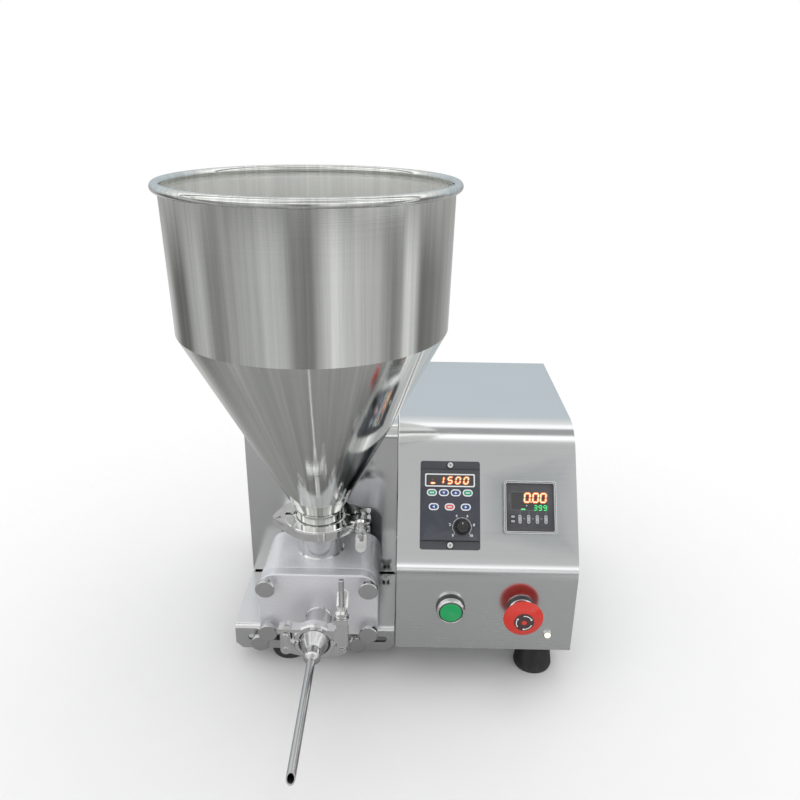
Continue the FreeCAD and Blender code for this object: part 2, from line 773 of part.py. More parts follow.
# ---------------------------------------------------------------- rotors, gears and shafts
def rotor_outline():
    """Closed lobe outline: epicycloid tips and hypocycloid roots, set in by half the clearance.

    The normal of a rolled curve passes through the point where its two circles touch.
    """
    pitch = shaft_x
    roll = pitch / (2 * rotor_lobes)
    arch = math.pi / rotor_lobes
    steps = 8
    points = []
    for lobe in range(rotor_lobes):
        for sign in (1, -1):
            start = (2 * lobe + (0 if sign > 0 else 1) - 0.5) * arch
            for i in range(steps):
                t = arch * i / steps
                carrier = pitch + sign * roll
                turned = carrier / roll * t
                x = carrier * math.cos(t) - sign * roll * math.cos(turned)
                z = carrier * math.sin(t) - roll * math.sin(turned)
                nx, nz = pitch * math.cos(t) - x, pitch * math.sin(t) - z
                if i == 0:
                    nx, nz = 0.0, 1.0
                inset = sign * rotor_clearance / 2 / math.hypot(nx, nz)
                x, z = x + nx * inset, z + nz * inset
                points.append(Vector(x * math.cos(start) - z * math.sin(start), 0,
                                     x * math.sin(start) + z * math.cos(start)))
    return points


def rotor(side):
    """Three-lobe rotor; with three lobes a tip of one faces a root of the other."""
    curve = Part.BSplineCurve()
    curve.interpolate(Points=rotor_outline(), PeriodicFlag=True)
    front = cover_back + chamber_clearance
    back = chamber_back - chamber_clearance
    solid = Part.Face(Part.Wire([curve.toShape()])).extrude(Vector(0, back - front, 0))
    solid.translate(Vector(side * shaft_x, front, pump_middle))
    bore = rod_y(rotor_seat_r, front, back, side * shaft_x, pump_middle)
    return cut(solid, [bore])


def timing_gear(side):
    """Spur gear with straight-flanked teeth that taper like the involute at the pitch line."""
    pitch_r = gear_module * gear_teeth / 2
    tip_r = pitch_r + gear_module * 0.9
    root_r = pitch_r - gear_module * 1.2
    pitch_angle = 2 * math.pi / gear_teeth
    half_at = {root_r: 0.36, pitch_r: 0.25, tip_r: 0.13}
    shave = gear_backlash / 2 / pitch_r
    points = []
    for tooth in range(gear_teeth):
        middle = tooth * pitch_angle
        for r, sign in ((root_r, -1), (pitch_r, -1), (tip_r, -1), (tip_r, 1), (pitch_r, 1), (root_r, 1)):
            a = middle + sign * (half_at[r] * pitch_angle - shave)
            points.append(Vector(r * math.cos(a), 0, r * math.sin(a)))
    solid = face_of(points).extrude(Vector(0, gear_width, 0))
    turn = 0.0 if side < 0 else 180.0 / gear_teeth
    solid.Placement = Placement(Vector(side * shaft_x, gear_front, pump_middle), Rotation(Y_AXIS, turn))
    return cut(solid, [rod_y(shaft_r, gear_front - 1, gear_front + gear_width + 1,
                             side * shaft_x, pump_middle)])


def pump_shaft(side, back_end):
    """Stepped shaft with the rotor's bolt head at its front end."""
    front = cover_back + chamber_clearance
    seat_end = chamber_back - chamber_clearance
    profile = [(0, front + 0.4), (rotor_bolt_r, front + 0.4), (rotor_bolt_r, front + rotor_bolt_head),
               (rotor_seat_r, front + rotor_bolt_head + 0.6), (rotor_seat_r, seat_end),
               (shaft_r, seat_end), (shaft_r, back_end - 1.0), (shaft_r - 1.0, back_end), (0, back_end)]
    return turned_y(profile, side * shaft_x, pump_middle)


def shaft_bearings():
    rings = []
    for side in (-1, 1):
        for front in (front_bearing, rear_bearing):
            profile = [(shaft_r + running_gap, front), (bearing_r, front),
                       (bearing_r, front + bearing_width), (shaft_r + running_gap, front + bearing_width)]
            rings.append(turned_y(profile, side * shaft_x, pump_middle))
    return rings


def gear_case():
    """Cast case for bearings and timing gears, with the lantern that carries the gearmotor."""
    half = case_width / 2
    low = pump_middle - case_height / 2
    high = pump_middle + case_height / 2
    block = box(-half, half, pump_back, case_back, low, high)
    block = block.makeFillet(8.0, [e for e in block.Edges
                                   if abs(e.tangentAt(e.FirstParameter).y) > 0.99])
    lantern = box(shaft_x - 30, shaft_x + 30, case_back, lantern_back, low, high)
    solid = fuse([block, lantern])
    gear_space = gear_module * (gear_teeth / 2 + 1) + 1.5
    cuts = []
    for side in (-1, 1):
        x = side * shaft_x
        cuts.append(rod_y(gear_space, gear_front - 1.5, gear_front + gear_width + 1.5, x, pump_middle))
        cuts.append(rod_y(bearing_r, front_bearing, front_bearing + bearing_width, x, pump_middle))
        cuts.append(rod_y(bearing_r, rear_bearing, rear_bearing + bearing_width, x, pump_middle))
        cuts.append(rod_y(shaft_r + 1.0, pump_back, case_back, x, pump_middle))
    cuts.append(rod_y(coupling_r + 5.0, case_back, lantern_back, shaft_x, pump_middle))
    cuts.append(box(shaft_x - 17, shaft_x + 17, case_back + 5, lantern_back - 6, low - 1, high + 1))
    return cut(solid, cuts)


def shaft_coupling():
    """Clamping coupling on the drive shaft, with the gearhead's output shaft in its back."""
    back = coupling_front + coupling_length
    hub = turned_y([(shaft_r, coupling_front), (coupling_r - 1, coupling_front),
                    (coupling_r, coupling_front + 1), (coupling_r, back - 1), (coupling_r - 1, back),
                    (motor_shaft_r, back), (motor_shaft_r, lantern_back + 8), (0, lantern_back + 8),
                    (0, coupling_front + coupling_grip),
                    (shaft_r, coupling_front + coupling_grip)], shaft_x, pump_middle)
    groove = coupling_front + coupling_length / 2
    relief = turned_y([(coupling_r - 2, groove - 1), (coupling_r + 1, groove - 1),
                       (coupling_r + 1, groove + 1), (coupling_r - 2, groove + 1)], shaft_x, pump_middle)
    return cut(hub, [relief])


def gearmotor():
    """Square gearhead on a round motor with its fan cowl."""
    half = gearhead_size / 2
    head_back = lantern_back + gearhead_length
    head = box(shaft_x - half, shaft_x + half, lantern_back, head_back, motor_z - half, motor_z + half)
    head = head.makeFillet(9.0, [e for e in head.Edges
                                 if abs(e.tangentAt(e.FirstParameter).y) > 0.99])
    end = head_back + motor_length
    motor = turned_y([(0, head_back), (motor_r, head_back), (motor_r, end - 4), (motor_r - 4, end),
                      (0, end)], shaft_x, motor_z)
    bands = [turned_y([(motor_r - 2, y), (motor_r + 1, y), (motor_r + 1, y + 2.5), (motor_r - 2, y + 2.5)],
                      shaft_x, motor_z) for y in range(int(head_back) + 6, int(end) - 8, 6)]
    bore = rod_y(motor_shaft_r + running_gap, lantern_back - 1, lantern_back + 10, shaft_x, pump_middle)
    return cut(fuse([head, motor]), bands + [bore])


# ---------------------------------------------------------------- spout
def outlet_tube():
    bore = spout_tube_r - tube_wall
    tube = ferrule(spout_tube_r, spout_clamp.flange_r, bore, spout_reach - gasket / 2)
    tube.Placement = Placement(Vector(0, spout_joint_y + gasket / 2, spout_z), Rotation(X_AXIS, -90))
    seam = turned_y([(spout_tube_r, cover_front), (spout_tube_r + 1.2, cover_front),
                     (spout_tube_r, cover_front - 1.2)], 0, spout_z)
    return fuse([tube, seam])


def nozzle():
    """Reducer with its ferrule, and the long thin tube cut obliquely at its tip."""
    face = spout_joint_y - gasket / 2
    flange_r = spout_clamp.flange_r
    slope = math.tan(math.radians(ferrule_angle))
    cone_r = flange_r - 2.6
    cone_start = face - ferrule_rim - (flange_r - cone_r) * slope
    cone_end = cone_start - reducer_cone
    barrel_end = cone_end - reducer_barrel
    shoulder_end = barrel_end - reducer_shoulder
    bore = spout_tube_r - tube_wall
    outline = [Vector(nozzle_bore_r, nozzle_end, 0), Vector(nozzle_r, nozzle_end, 0),
               Vector(nozzle_r, shoulder_end, 0),
               ("arc", Vector(reducer_r - 1.0, (barrel_end + shoulder_end) / 2 + 0.6, 0),
                Vector(reducer_r, barrel_end, 0)),
               Vector(reducer_r, cone_end, 0), Vector(cone_r, cone_start, 0),
               Vector(flange_r, face - ferrule_rim, 0), Vector(flange_r, face, 0),
               Vector(bore, face, 0), Vector(bore, cone_start, 0),
               Vector(reducer_r - tube_wall, cone_end, 0),
               Vector(reducer_r - tube_wall, barrel_end, 0), Vector(nozzle_bore_r, shoulder_end, 0)]
    solid = face_of(outline).revolve(Vector(0, 0, 0), Y_AXIS, 360)
    solid.translate(Vector(0, 0, spout_z))
    reach = 5 * nozzle_r
    cutter = box(-reach, reach, -reach, 0, -reach, reach)
    cutter.Placement = Placement(Vector(0, nozzle_end, spout_z - nozzle_r),
                                 Rotation(X_AXIS, nozzle_cut - 90.0))
    return solid.cut(cutter)


# ---------------------------------------------------------------- base, tray and feet
def base_tray():
    """Folded base plate: top under the pump and the motor, slotted flange in front."""
    t = base_sheet
    r = tray_bend_r
    front = flange_front
    back = rear_y - sheet
    diagonal = math.sqrt(0.5)
    outer = Vector(0, front + r - r * diagonal, tray_top - r + r * diagonal)
    inner = Vector(0, front + r - (r - t) * diagonal, tray_top - r + (r - t) * diagonal)
    profile = face_of([
        Vector(0, back, tray_top), Vector(0, front + r, tray_top),
        ("arc", outer, Vector(0, front, tray_top - r)),
        Vector(0, front, flange_bottom), Vector(0, front + t, flange_bottom),
        Vector(0, front + t, tray_top - r),
        ("arc", inner, Vector(0, front + r, tray_top - t)),
        Vector(0, back, tray_top - t)])
    profile.translate(Vector(tray_left, 0, 0))
    plate = profile.extrude(Vector(tray_right - tray_left, 0, 0))
    low = tray_top - tray_side_depth
    sides = [box(x, x + sheet, front + r + 2, back, low, tray_top - t)
             for x in (tray_left, tray_right - sheet)]
    cuts = [flange_slot(x) for x in (left_slot_x, right_slot_x)]
    cuts += [flange_chamfer(tray_left, 1), flange_chamfer(tray_right, -1)]
    cuts += [rod_z(foot_screw_r, low, tray_top + 1, *feet[name]) for name in ("front_left", "rear_left")]
    cuts.append(rod_z(wing_screw_r + running_gap, low, tray_top + 1, *wing_screw_place))
    return cut(fuse([plate] + sides), cuts)


def flange_slot(x):
    slot = oval(slot_length, slot_height, -5, 10)
    slot.Placement = Placement(Vector(x, flange_front + base_sheet + 5, slot_z), Rotation(X_AXIS, 90))
    return slot


def flange_chamfer(x, side):
    """Corner cut off the lower end of the front flange."""
    c = flange_corner
    wedge = face_of([Vector(x, 0, flange_bottom), Vector(x + side * c, 0, flange_bottom),
                     Vector(x, 0, flange_bottom + c)])
    wedge.translate(Vector(0, flange_front - 1, 0))
    return wedge.extrude(Vector(0, base_sheet + 2, 0))


def screw_nut_plates():
    """Tapped plates behind the slots, one for each thumb screw."""
    plates = []
    y = flange_front + base_sheet
    for x in (left_screw_x, right_screw_x):
        plate = box(x - nut_plate_width / 2, x + nut_plate_width / 2, y, y + nut_plate_thickness,
                    slot_z - nut_plate_height / 2, slot_z + nut_plate_height / 2)
        plates.append(cut(plate, [rod_y(tray_thread_r + running_gap, y - 1, y + 20, x, slot_z)]))
    return plates


def tray_screw(x):
    """Thumb screw with a flat round head, through the slot into its nut plate."""
    stem_end = flange_front
    face = stem_end - tray_screw_stem - tray_screw_thickness
    end = flange_front + base_sheet + nut_plate_thickness + 1.0
    profile = [(0, face), (tray_screw_r - knob_chamfer, face), (tray_screw_r, face + knob_chamfer),
               (tray_screw_r, face + tray_screw_thickness - knob_chamfer),
               (tray_screw_r - knob_chamfer, face + tray_screw_thickness),
               (5.0, face + tray_screw_thickness), (5.0, stem_end), (tray_thread_r, stem_end),
               (tray_thread_r, end), (0, end)]
    return turned_y(profile, x, slot_z)


def tray_wing_screw():
    """Small wing screw in the tray behind the pump."""
    x, y = wing_screw_place
    shank = rod_z(wing_screw_r, tray_top - base_sheet - 5, tray_top + 3, x, y)
    collar = rod_z(wing_collar_r, tray_top, tray_top + 3, x, y)
    wings = []
    for side in (-1, 1):
        wing = oval(5.0, 8.0, -0.8, 0.8)
        wing.Placement = Placement(Vector(x + side * 2.8, y, tray_top + 4.8),
                                   Rotation(Y_AXIS, side * 28).multiply(Rotation(X_AXIS, 90)))
        wings.append(wing)
    return fuse([shank, collar] + wings)


def rubber_feet():
    solids = []
    for name, (x, y) in feet.items():
        profile = [(foot_screw_r, foot_height), (foot_top_r, foot_height),
                   (foot_bottom_r, 3.0), (foot_bottom_r - 1.0, 0), (foot_recess_r, 0),
                   (foot_recess_r, foot_recess_depth), (foot_screw_r, foot_recess_depth)]
        foot = revolve_z(profile)
        foot.translate(Vector(x, y, 0))
        solids.append(foot)
    return solids


# ---------------------------------------------------------------- drive housing and cabinet
def drive_housing_cover():
    """Folded cover over gearmotor and gear case, open below."""
    x0, x1 = housing_left, housing_right
    z0 = tray_top
    shell = box(x0, x1, housing_front, rear_y, z0, housing_top)
    front_top = [e for e in shell.Edges if abs(e.CenterOfMass.y - housing_front) < 1e-3
                 and abs(e.CenterOfMass.z - housing_top) < 1e-3]
    shell = shell.makeFillet(housing_bend_r, front_top)
    hollow = box(x0 + sheet, x1 - sheet, housing_front + sheet, rear_y - sheet, z0 - 5, housing_top - sheet)
    inner = [e for e in hollow.Edges if abs(e.CenterOfMass.y - housing_front - sheet) < 1e-3
             and abs(e.CenterOfMass.z - housing_top + sheet) < 1e-3]
    hollow = hollow.makeFillet(housing_bend_r - sheet, inner)
    window = box(pump_shift - case_width / 2 - 1, pump_shift + case_width / 2 + 1,
                 housing_front - 1, housing_front + sheet + 1,
                 z0 - 5, pump_middle + case_height / 2 + 1)
    shadow = box(x0 - 1, x1 + 1, housing_front - 1, housing_front + sheet, z0 - 1, z0 + housing_gap)
    holes = [rod_x(side_bolt_r, x1 - 5, x1 + 5, y, z) for y, z in side_bolts]
    return cut(shell, [hollow, window, shadow] + holes)


def cabinet_profile(inset):
    """Side outline of the cabinet, drawn in the YZ plane; inset gives the inner one."""
    tilt = math.radians(slope_tilt)
    r = cabinet_bend_r - inset
    top = cabinet_top - inset
    front = cabinet_front + inset
    down = Vector(0, -math.sin(tilt), -math.cos(tilt))
    out = Vector(0, -math.cos(tilt), math.sin(tilt))
    start = Vector(0, slope_top_y, cabinet_top)
    upper_t = cabinet_bend_r * math.tan(math.radians(90 - slope_tilt) / 2)
    centre_top = start + Vector(0, upper_t, -cabinet_bend_r)
    corner = start + down * ((cabinet_front - slope_top_y) / -math.sin(tilt))
    lower_t = cabinet_bend_r * math.tan(tilt / 2)
    centre_low = Vector(0, cabinet_front + cabinet_bend_r, corner.z - lower_t)
    half_top = math.radians(90 - (90 - slope_tilt) / 2)
    half_low = tilt / 2
    bottom = foot_height if inset == 0 else foot_height - 5
    back = rear_y if inset == 0 else rear_y + 5
    return [
        Vector(0, back, bottom), Vector(0, back, top), Vector(0, centre_top.y, top),
        ("arc", centre_top + Vector(0, -r * math.cos(half_top), r * math.sin(half_top)),
         centre_top + out * r),
        centre_low + out * r,
        ("arc", centre_low + Vector(0, -r * math.cos(half_low), r * math.sin(half_low)),
         Vector(0, front, centre_low.z)),
        Vector(0, front, bottom)]


def prism_x(points, x0, x1):
    face = face_of(points)
    face.translate(Vector(x0, 0, 0))
    return face.extrude(Vector(x1 - x0, 0, 0))


def control_cabinet():
    """Folded cabinet, open at its back and below, with cut-outs for what it carries."""
    shell = prism_x(cabinet_profile(0), cabinet_left, cabinet_right)
    hollow = prism_x(cabinet_profile(sheet), cabinet_left + sheet, cabinet_right - sheet)
    body_w = controller_width - 4.0
    body_h = controller_height - 2 * controller_ear - 2.0
    cuts = [hollow,
            placed(box(-body_w / 2 - 0.5, body_w / 2 + 0.5, -body_h / 2 - 0.5, body_h / 2 + 0.5, -8, 8),
                   on_slope(controller_x, controller_s)),
            placed(box(-counter_body / 2 - 0.2, counter_body / 2 + 0.2, -counter_body / 2 - 0.2,
                       counter_body / 2 + 0.2, -8, 8), on_slope(counter_x, counter_s)),
            placed(rod_z(button_hole_r, -8, 8), on_front(start_x, start_z)),
            placed(rod_z(button_hole_r, -8, 8), on_front(estop_x, estop_z)),
            placed(rod_z(indicator_r - 0.8, -8, 8), on_front(indicator_x, indicator_z))]
    cuts += [placed(rod_z(controller_screw_r, -8, 8), on_slope(controller_x, s)) for s in controller_screws]
    cuts += [rod_x(side_bolt_r, cabinet_left - 5, cabinet_left + 5, y, z) for y, z in side_bolts]
    return cut(shell, cuts)


def cabinet_rear_cover():
    """Back panel and floor of the cabinet, folded from one sheet."""
    x0, x1 = cabinet_left + sheet, cabinet_right - sheet
    floor = box(x0, x1, cabinet_front + sheet, rear_y, foot_height, foot_height + sheet)
    back = box(x0, x1, rear_y - sheet, rear_y, foot_height, cabinet_top - sheet)
    cuts = [box(inlet_x - inlet_width / 2 + 8, inlet_x + inlet_width / 2 - 8, rear_y - 5, rear_y + 5,
                inlet_z - inlet_height / 2 + 3, inlet_z + inlet_height / 2 - 3)]
    cuts += [rod_z(foot_screw_r, foot_height - 1, foot_height + 5, *feet[name])
             for name in ("front_right", "rear_right")]
    for i in range(7):
        vent = oval(34.0, 3.0, -5, 5)
        vent.Placement = Placement(Vector(150.0, rear_y, cabinet_top - 64.0 - i * 9.0),
                                   Rotation(X_AXIS, 90))
        cuts.append(vent)
    return cut(fuse([floor, back]), cuts)


def power_inlet():
    """Appliance inlet with its flange, for a detachable lead."""
    flange = box(inlet_x - inlet_width / 2, inlet_x + inlet_width / 2, rear_y, rear_y + inlet_flange,
                 inlet_z - inlet_height / 2, inlet_z + inlet_height / 2)
    body = box(inlet_x - inlet_width / 2 + 8, inlet_x + inlet_width / 2 - 8, rear_y - 24, rear_y + 1,
               inlet_z - inlet_height / 2 + 3, inlet_z + inlet_height / 2 - 3)
    well = box(inlet_x - 12, inlet_x + 12, rear_y - 15, rear_y + inlet_flange + 1,
               inlet_z - 8.2, inlet_z + 8.2)
    blades = [box(inlet_x + dx - 1.0, inlet_x + dx + 1.0, rear_y - 16, rear_y - 2,
                  inlet_z + dz - 2.0, inlet_z + dz + 2.0) for dx, dz in ((-7, -2), (0, 2), (7, -2))]
    return fuse([cut(fuse([flange, body]), [well])] + blades)


def case_screws():
    """Screws of the feet, the controller and the back, and the bolts that join the two cases."""
    screws = []
    for y, z in side_bolts:
        parts = [rod_x(side_bolt_r, housing_right - sheet - 4, cabinet_left + sheet + 4, y, z)]
        for x, width in ((housing_right - sheet - 4, 4), (housing_right, cabinet_left - housing_right),
                         (cabinet_left + sheet, 4)):
            parts.append(rod_x(side_bolt_r * 2, x, x + width, y, z))
        screws.append(fuse(parts))
    for name, (x, y) in feet.items():
        top = tray_top if name.endswith("left") else foot_height + sheet + 4.0
        head = rod_z(foot_recess_r - 1.5, foot_recess_depth - 4, foot_recess_depth, x, y)
        screws.append(fuse([rod_z(foot_screw_r, foot_recess_depth - 1, top, x, y), head]))
    for s in controller_screws:
        head = rod_z(3.0, controller_ear_thickness, controller_ear_thickness + 1.8)
        shank = rod_z(controller_screw_r, -6.0, controller_ear_thickness)
        screws.append(placed(fuse([head, shank]), on_slope(controller_x, s)))
    for x in (cabinet_left + 12, cabinet_right - 12):
        for z in (foot_height + 15, cabinet_top - 15):
            screws.append(rod_y(3.0, rear_y, rear_y + 1.8, x, z))
    return screws


# ---------------------------------------------------------------- speed controller and counter
def local_on_controller(x, s):
    return Vector(x - controller_x, controller_s - s, 0)


def controller_case():
    body_w = controller_width - 4.0
    body_h = controller_height - 2 * controller_ear - 2.0
    plate = rounded_plate(controller_width, controller_height, 2.5, 0, controller_ear_thickness)
    face = box(-controller_width / 2 + 0.5, controller_width / 2 - 0.5,
               -controller_height / 2 + controller_ear, controller_height / 2 - controller_ear,
               0, controller_face)
    body = box(-body_w / 2, body_w / 2, -body_h / 2, body_h / 2, -controller_depth, 1)
    x, y, _ = local_on_controller(*controller_dial)
    cuts = [rod_z(dial_shaft_r + running_gap, -4, controller_face + 1, x, y)]
    cuts += [rod_z(controller_screw_r, -10, 10, 0, controller_s - s) for s in controller_screws]
    return placed(cut(fuse([plate, face, body]), cuts), on_slope(controller_x, controller_s))


def controller_display():
    x, s, width, height = controller_window
    pane = rounded_plate(width, height, 1.5, controller_face, controller_face + film)
    pane.translate(local_on_controller(x, s))
    return placed(pane, on_slope(controller_x, controller_s))


def controller_keypad():
    """Membrane keypad: one film with seven domed keys and a hole for the dial."""
    top = controller_window[1] + controller_window[3] / 2 + 0.6
    bottom = controller_s + controller_height / 2 - controller_ear - 0.8
    film_sheet = rounded_plate(controller_width - 3.5, bottom - top, 1.0,
                               controller_face, controller_face + film)
    film_sheet.translate(Vector(0, controller_s - (top + bottom) / 2, 0))
    keys = []
    rows = [(70.2, (117.7, 129.8, 141.8, 153.9)), (84.4, (119.7, 135.8, 151.9))]
    for s, places in rows:
        for x in places:
            key = oval(key_width, key_height, controller_face, controller_face + film + key_proud)
            key.translate(local_on_controller(x, s))
            keys.append(key)
    x, y, _ = local_on_controller(*controller_dial)
    hole = rod_z(dial_shaft_r + 1.0, 0, 20, x, y)
    return placed(cut(fuse([film_sheet] + keys), [hole]), on_slope(controller_x, controller_s))


def speed_dial():
    """Dial with a skirt, a gripped cap and a pointer groove."""
    base = controller_face + film + 0.3
    top = base + dial_height
    profile = [(0, -3.0), (dial_shaft_r, -3.0), (dial_shaft_r, base), (dial_skirt_r, base),
               (dial_skirt_r, base + 1.5), (dial_cap_r + 0.8, base + 3.0), (dial_cap_r, top - 0.8),
               (dial_cap_r - 0.8, top), (0, top)]
    dial = revolve_z(profile)
    pointer = box(-0.6, 0.6, 1.5, dial_skirt_r + 1, top - 0.7, top + 1)
    flutes = []
    for i in range(12):
        a = math.radians(15 + 30 * i)
        flutes.append(rod_z(0.8, base + 3.2, top + 1, (dial_cap_r + 0.5) * math.cos(a),
                            (dial_cap_r + 0.5) * math.sin(a)))
    dial = cut(dial, [pointer] + flutes)
    dial.translate(local_on_controller(*controller_dial))
    return placed(dial, on_slope(controller_x, controller_s))


def counter_case():
    face = rounded_plate(counter_size, counter_size, 1.5, 0, counter_face)
    body = box(-counter_body / 2, counter_body / 2, -counter_body / 2, counter_body / 2, -counter_depth, 1)
    return placed(fuse([face, body]), on_slope(counter_x, counter_s))


def counter_cover():
    """Clear surround that frames the counter's face."""
    outer = rounded_plate(counter_frame, counter_frame, 3.0, 0, counter_frame_depth)
    rim = [e for e in outer.Edges if e.BoundBox.ZMin > counter_frame_depth - 1e-3]
    outer = outer.makeFillet(1.0, rim)
    inner = rounded_plate(counter_size + 0.2, counter_size + 0.2, 1.6, -1, counter_frame_depth + 1)
    return placed(outer.cut(inner), on_slope(counter_x, counter_s))


def counter_display():
    width, height = counter_window_size
    pane = rounded_plate(width, height, 0.8, counter_face, counter_face + film)
    pane.translate(Vector(-0.4, counter_window_rise, 0))
    return placed(pane, on_slope(counter_x, counter_s))


def counter_keypad():
    """Silicone keypad: a thin mat with two small keys and four up-and-down keys."""
    top = counter_face + film
    mat = rounded_plate(counter_size - 4, 15.5, 1.0, counter_face, top)
    mat.translate(Vector(0, 83.4 - 95.3, 0))
    keys = []
    for x in (206.2, 214.9, 223.5, 232.2):
        key = oval(4.0, 9.6, counter_face, top + key_proud)
        key.translate(Vector(x - counter_x, counter_s - 95.3, 0))
        keys.append(key)
    for s in (92.9, 97.5):
        key = oval(4.4, 2.5, counter_face, top + key_proud)
        key.translate(Vector(199.2 - counter_x, counter_s - s, 0))
        keys.append(key)
    return placed(fuse([mat] + keys), on_slope(counter_x, counter_s))


# ---------------------------------------------------------------- push buttons and lamp
def panel_nut():
    """Ring nut that holds a button behind the panel."""
    return revolve_z([(button_barrel_r - 0.5, -sheet - 5), (button_flange_r, -sheet - 5),
                      (button_flange_r, -sheet), (button_barrel_r - 0.5, -sheet)])


def start_button_bezel():
    """Metal bezel and barrel of the start button, with its nut behind the panel."""
    bore_r = start_cap_r - 2.5 + running_gap
    well_r = start_cap_r + start_lip
    floor = button_gasket + 0.8
    profile = [(bore_r, -button_barrel), (button_barrel_r, -button_barrel), (button_barrel_r, button_gasket),
               (button_flange_r, button_gasket), (button_flange_r, start_face - 1.0),
               (button_flange_r - 1.0, start_face), (well_r + 0.3, start_face), (well_r, start_face - 0.4),
               (well_r, floor), (bore_r, floor)]
    return placed(fuse([revolve_z(profile), panel_nut()]), on_front(start_x, start_z))


def start_button_cap():
    low = button_gasket + 0.8 + start_travel + 0.4
    stem_r = start_cap_r - 2.5
    profile = [(0, -22), (stem_r, -22), (stem_r, low), (start_cap_r, low), (start_cap_r, low + 1.1),
               (start_cap_r - 0.6, low + 1.6), (0, low + 1.9)]
    return placed(revolve_z(profile), on_front(start_x, start_z))


def estop_collar():
    bore_r = estop_stem_r + running_gap
    step = button_gasket + 1.8
    top = estop_seat - estop_travel - 0.4
    profile = [(bore_r, -button_barrel), (button_barrel_r, -button_barrel), (button_barrel_r, button_gasket),
               (button_flange_r, button_gasket), (button_flange_r, step), (button_flange_r - 1.8, step + 1.2),
               (button_flange_r - 1.8, top - 0.6), (button_flange_r - 2.4, top), (bore_r, top)]
    return placed(fuse([revolve_z(profile), panel_nut()]), on_front(estop_x, estop_z))


def estop_stem():
    """Sliding stem with the spigot on which the head turns."""
    shoulder = estop_seat - 0.3
    profile = [(0, -24), (estop_stem_r, -24), (estop_stem_r, shoulder), (5.0, shoulder),
               (5.0, shoulder + 6.0), (0, shoulder + 6.0)]
    return placed(revolve_z(profile), on_front(estop_x, estop_z))


def estop_head():
    """Mushroom head that is pushed in, and turned to release."""
    r = estop_head_r
    bore_top = estop_seat + 6.0
    outline = [Vector(0, 0, bore_top), Vector(5.0 + running_gap, 0, bore_top),
               Vector(5.0 + running_gap, 0, estop_seat), Vector(10.0, 0, estop_seat),
               Vector(11.5, 0, estop_seat + 0.7), Vector(r - 1.6, 0, estop_widest - 1.6),
               ("arc", Vector(r, 0, estop_widest), Vector(r - 1.0, 0, estop_widest + 1.8)),
               dome(r - 1.0, estop_widest + 1.8, estop_reach)]
    solid = face_of(outline).revolve(Vector(0, 0, 0), Z_AXIS, 360)
    return placed(solid, on_front(estop_x, estop_z))


def switch_blocks():
    """Contact blocks snapped on the barrels behind the panel, and the gaskets in front of it."""
    blocks = []
    for x, z in ((start_x, start_z), (estop_x, estop_z)):
        block = rounded_plate(30, 36, 2.0, -button_barrel - 24, -button_barrel)
        seal = cut(rod_z(button_gasket_r, 0, button_gasket), [rod_z(button_barrel_r, -1, button_gasket + 1)])
        blocks += [placed(block, on_front(x, z)), placed(seal, on_front(x, z))]
    return blocks


def indicator_lamp():
    """Small pilot lamp: metal bezel and barrel, and its domed lens."""
    bezel = revolve_z([(3.4, 0.4), (indicator_r, 0), (indicator_r, 1.2), (indicator_r - 0.6, 1.8),
                       (3.4, 1.8)])
    barrel = revolve_z([(0, -14), (indicator_r - 0.8, -14), (indicator_r - 0.8, 0), (indicator_r, 0),
                        (3.4, 0.4), (0, 0.4)])
    lens = face_of([Vector(0, 0, 0.4), Vector(3.4, 0, 0.4), Vector(3.4, 0, 2.0),
                    dome(3.4, 2.0, 4.0)]).revolve(Vector(0, 0, 0), Z_AXIS, 360)
    place = on_front(indicator_x, indicator_z)
    return [placed(fuse([bezel, barrel]), place), placed(lens, place)]


# ---------------------------------------------------------------- clamps in place
def clamp_pins():
    hopper_pins = [hopper_clamp.pin(hopper_clamp.hinge, 5.5), hopper_clamp.pin(hopper_clamp.bolt_pin, 5.5)]
    spout_pins = [spout_clamp.pin(spout_clamp.hinge, 5.9), spout_clamp.pin(spout_clamp.bolt_pin, 5.5)]
    return [placed(p, hopper_clamp_place) for p in hopper_pins] + \
        [placed(p, spout_clamp_place) for p in spout_pins]


# ---------------------------------------------------------------- nodes
# nodes modelled about the pump's own middle
pump_line = ["gearmotor", "gear_case", "shaft_bearings", "drive_shaft", "shaft_coupling",
             "driven_shaft", "drive_timing_gear", "driven_timing_gear", "drive_rotor",
             "driven_rotor", "pump_body", "pump_case_ring", "pump_cover", "pump_seals",
             "cover_studs", "outlet_tube", "nozzle"]


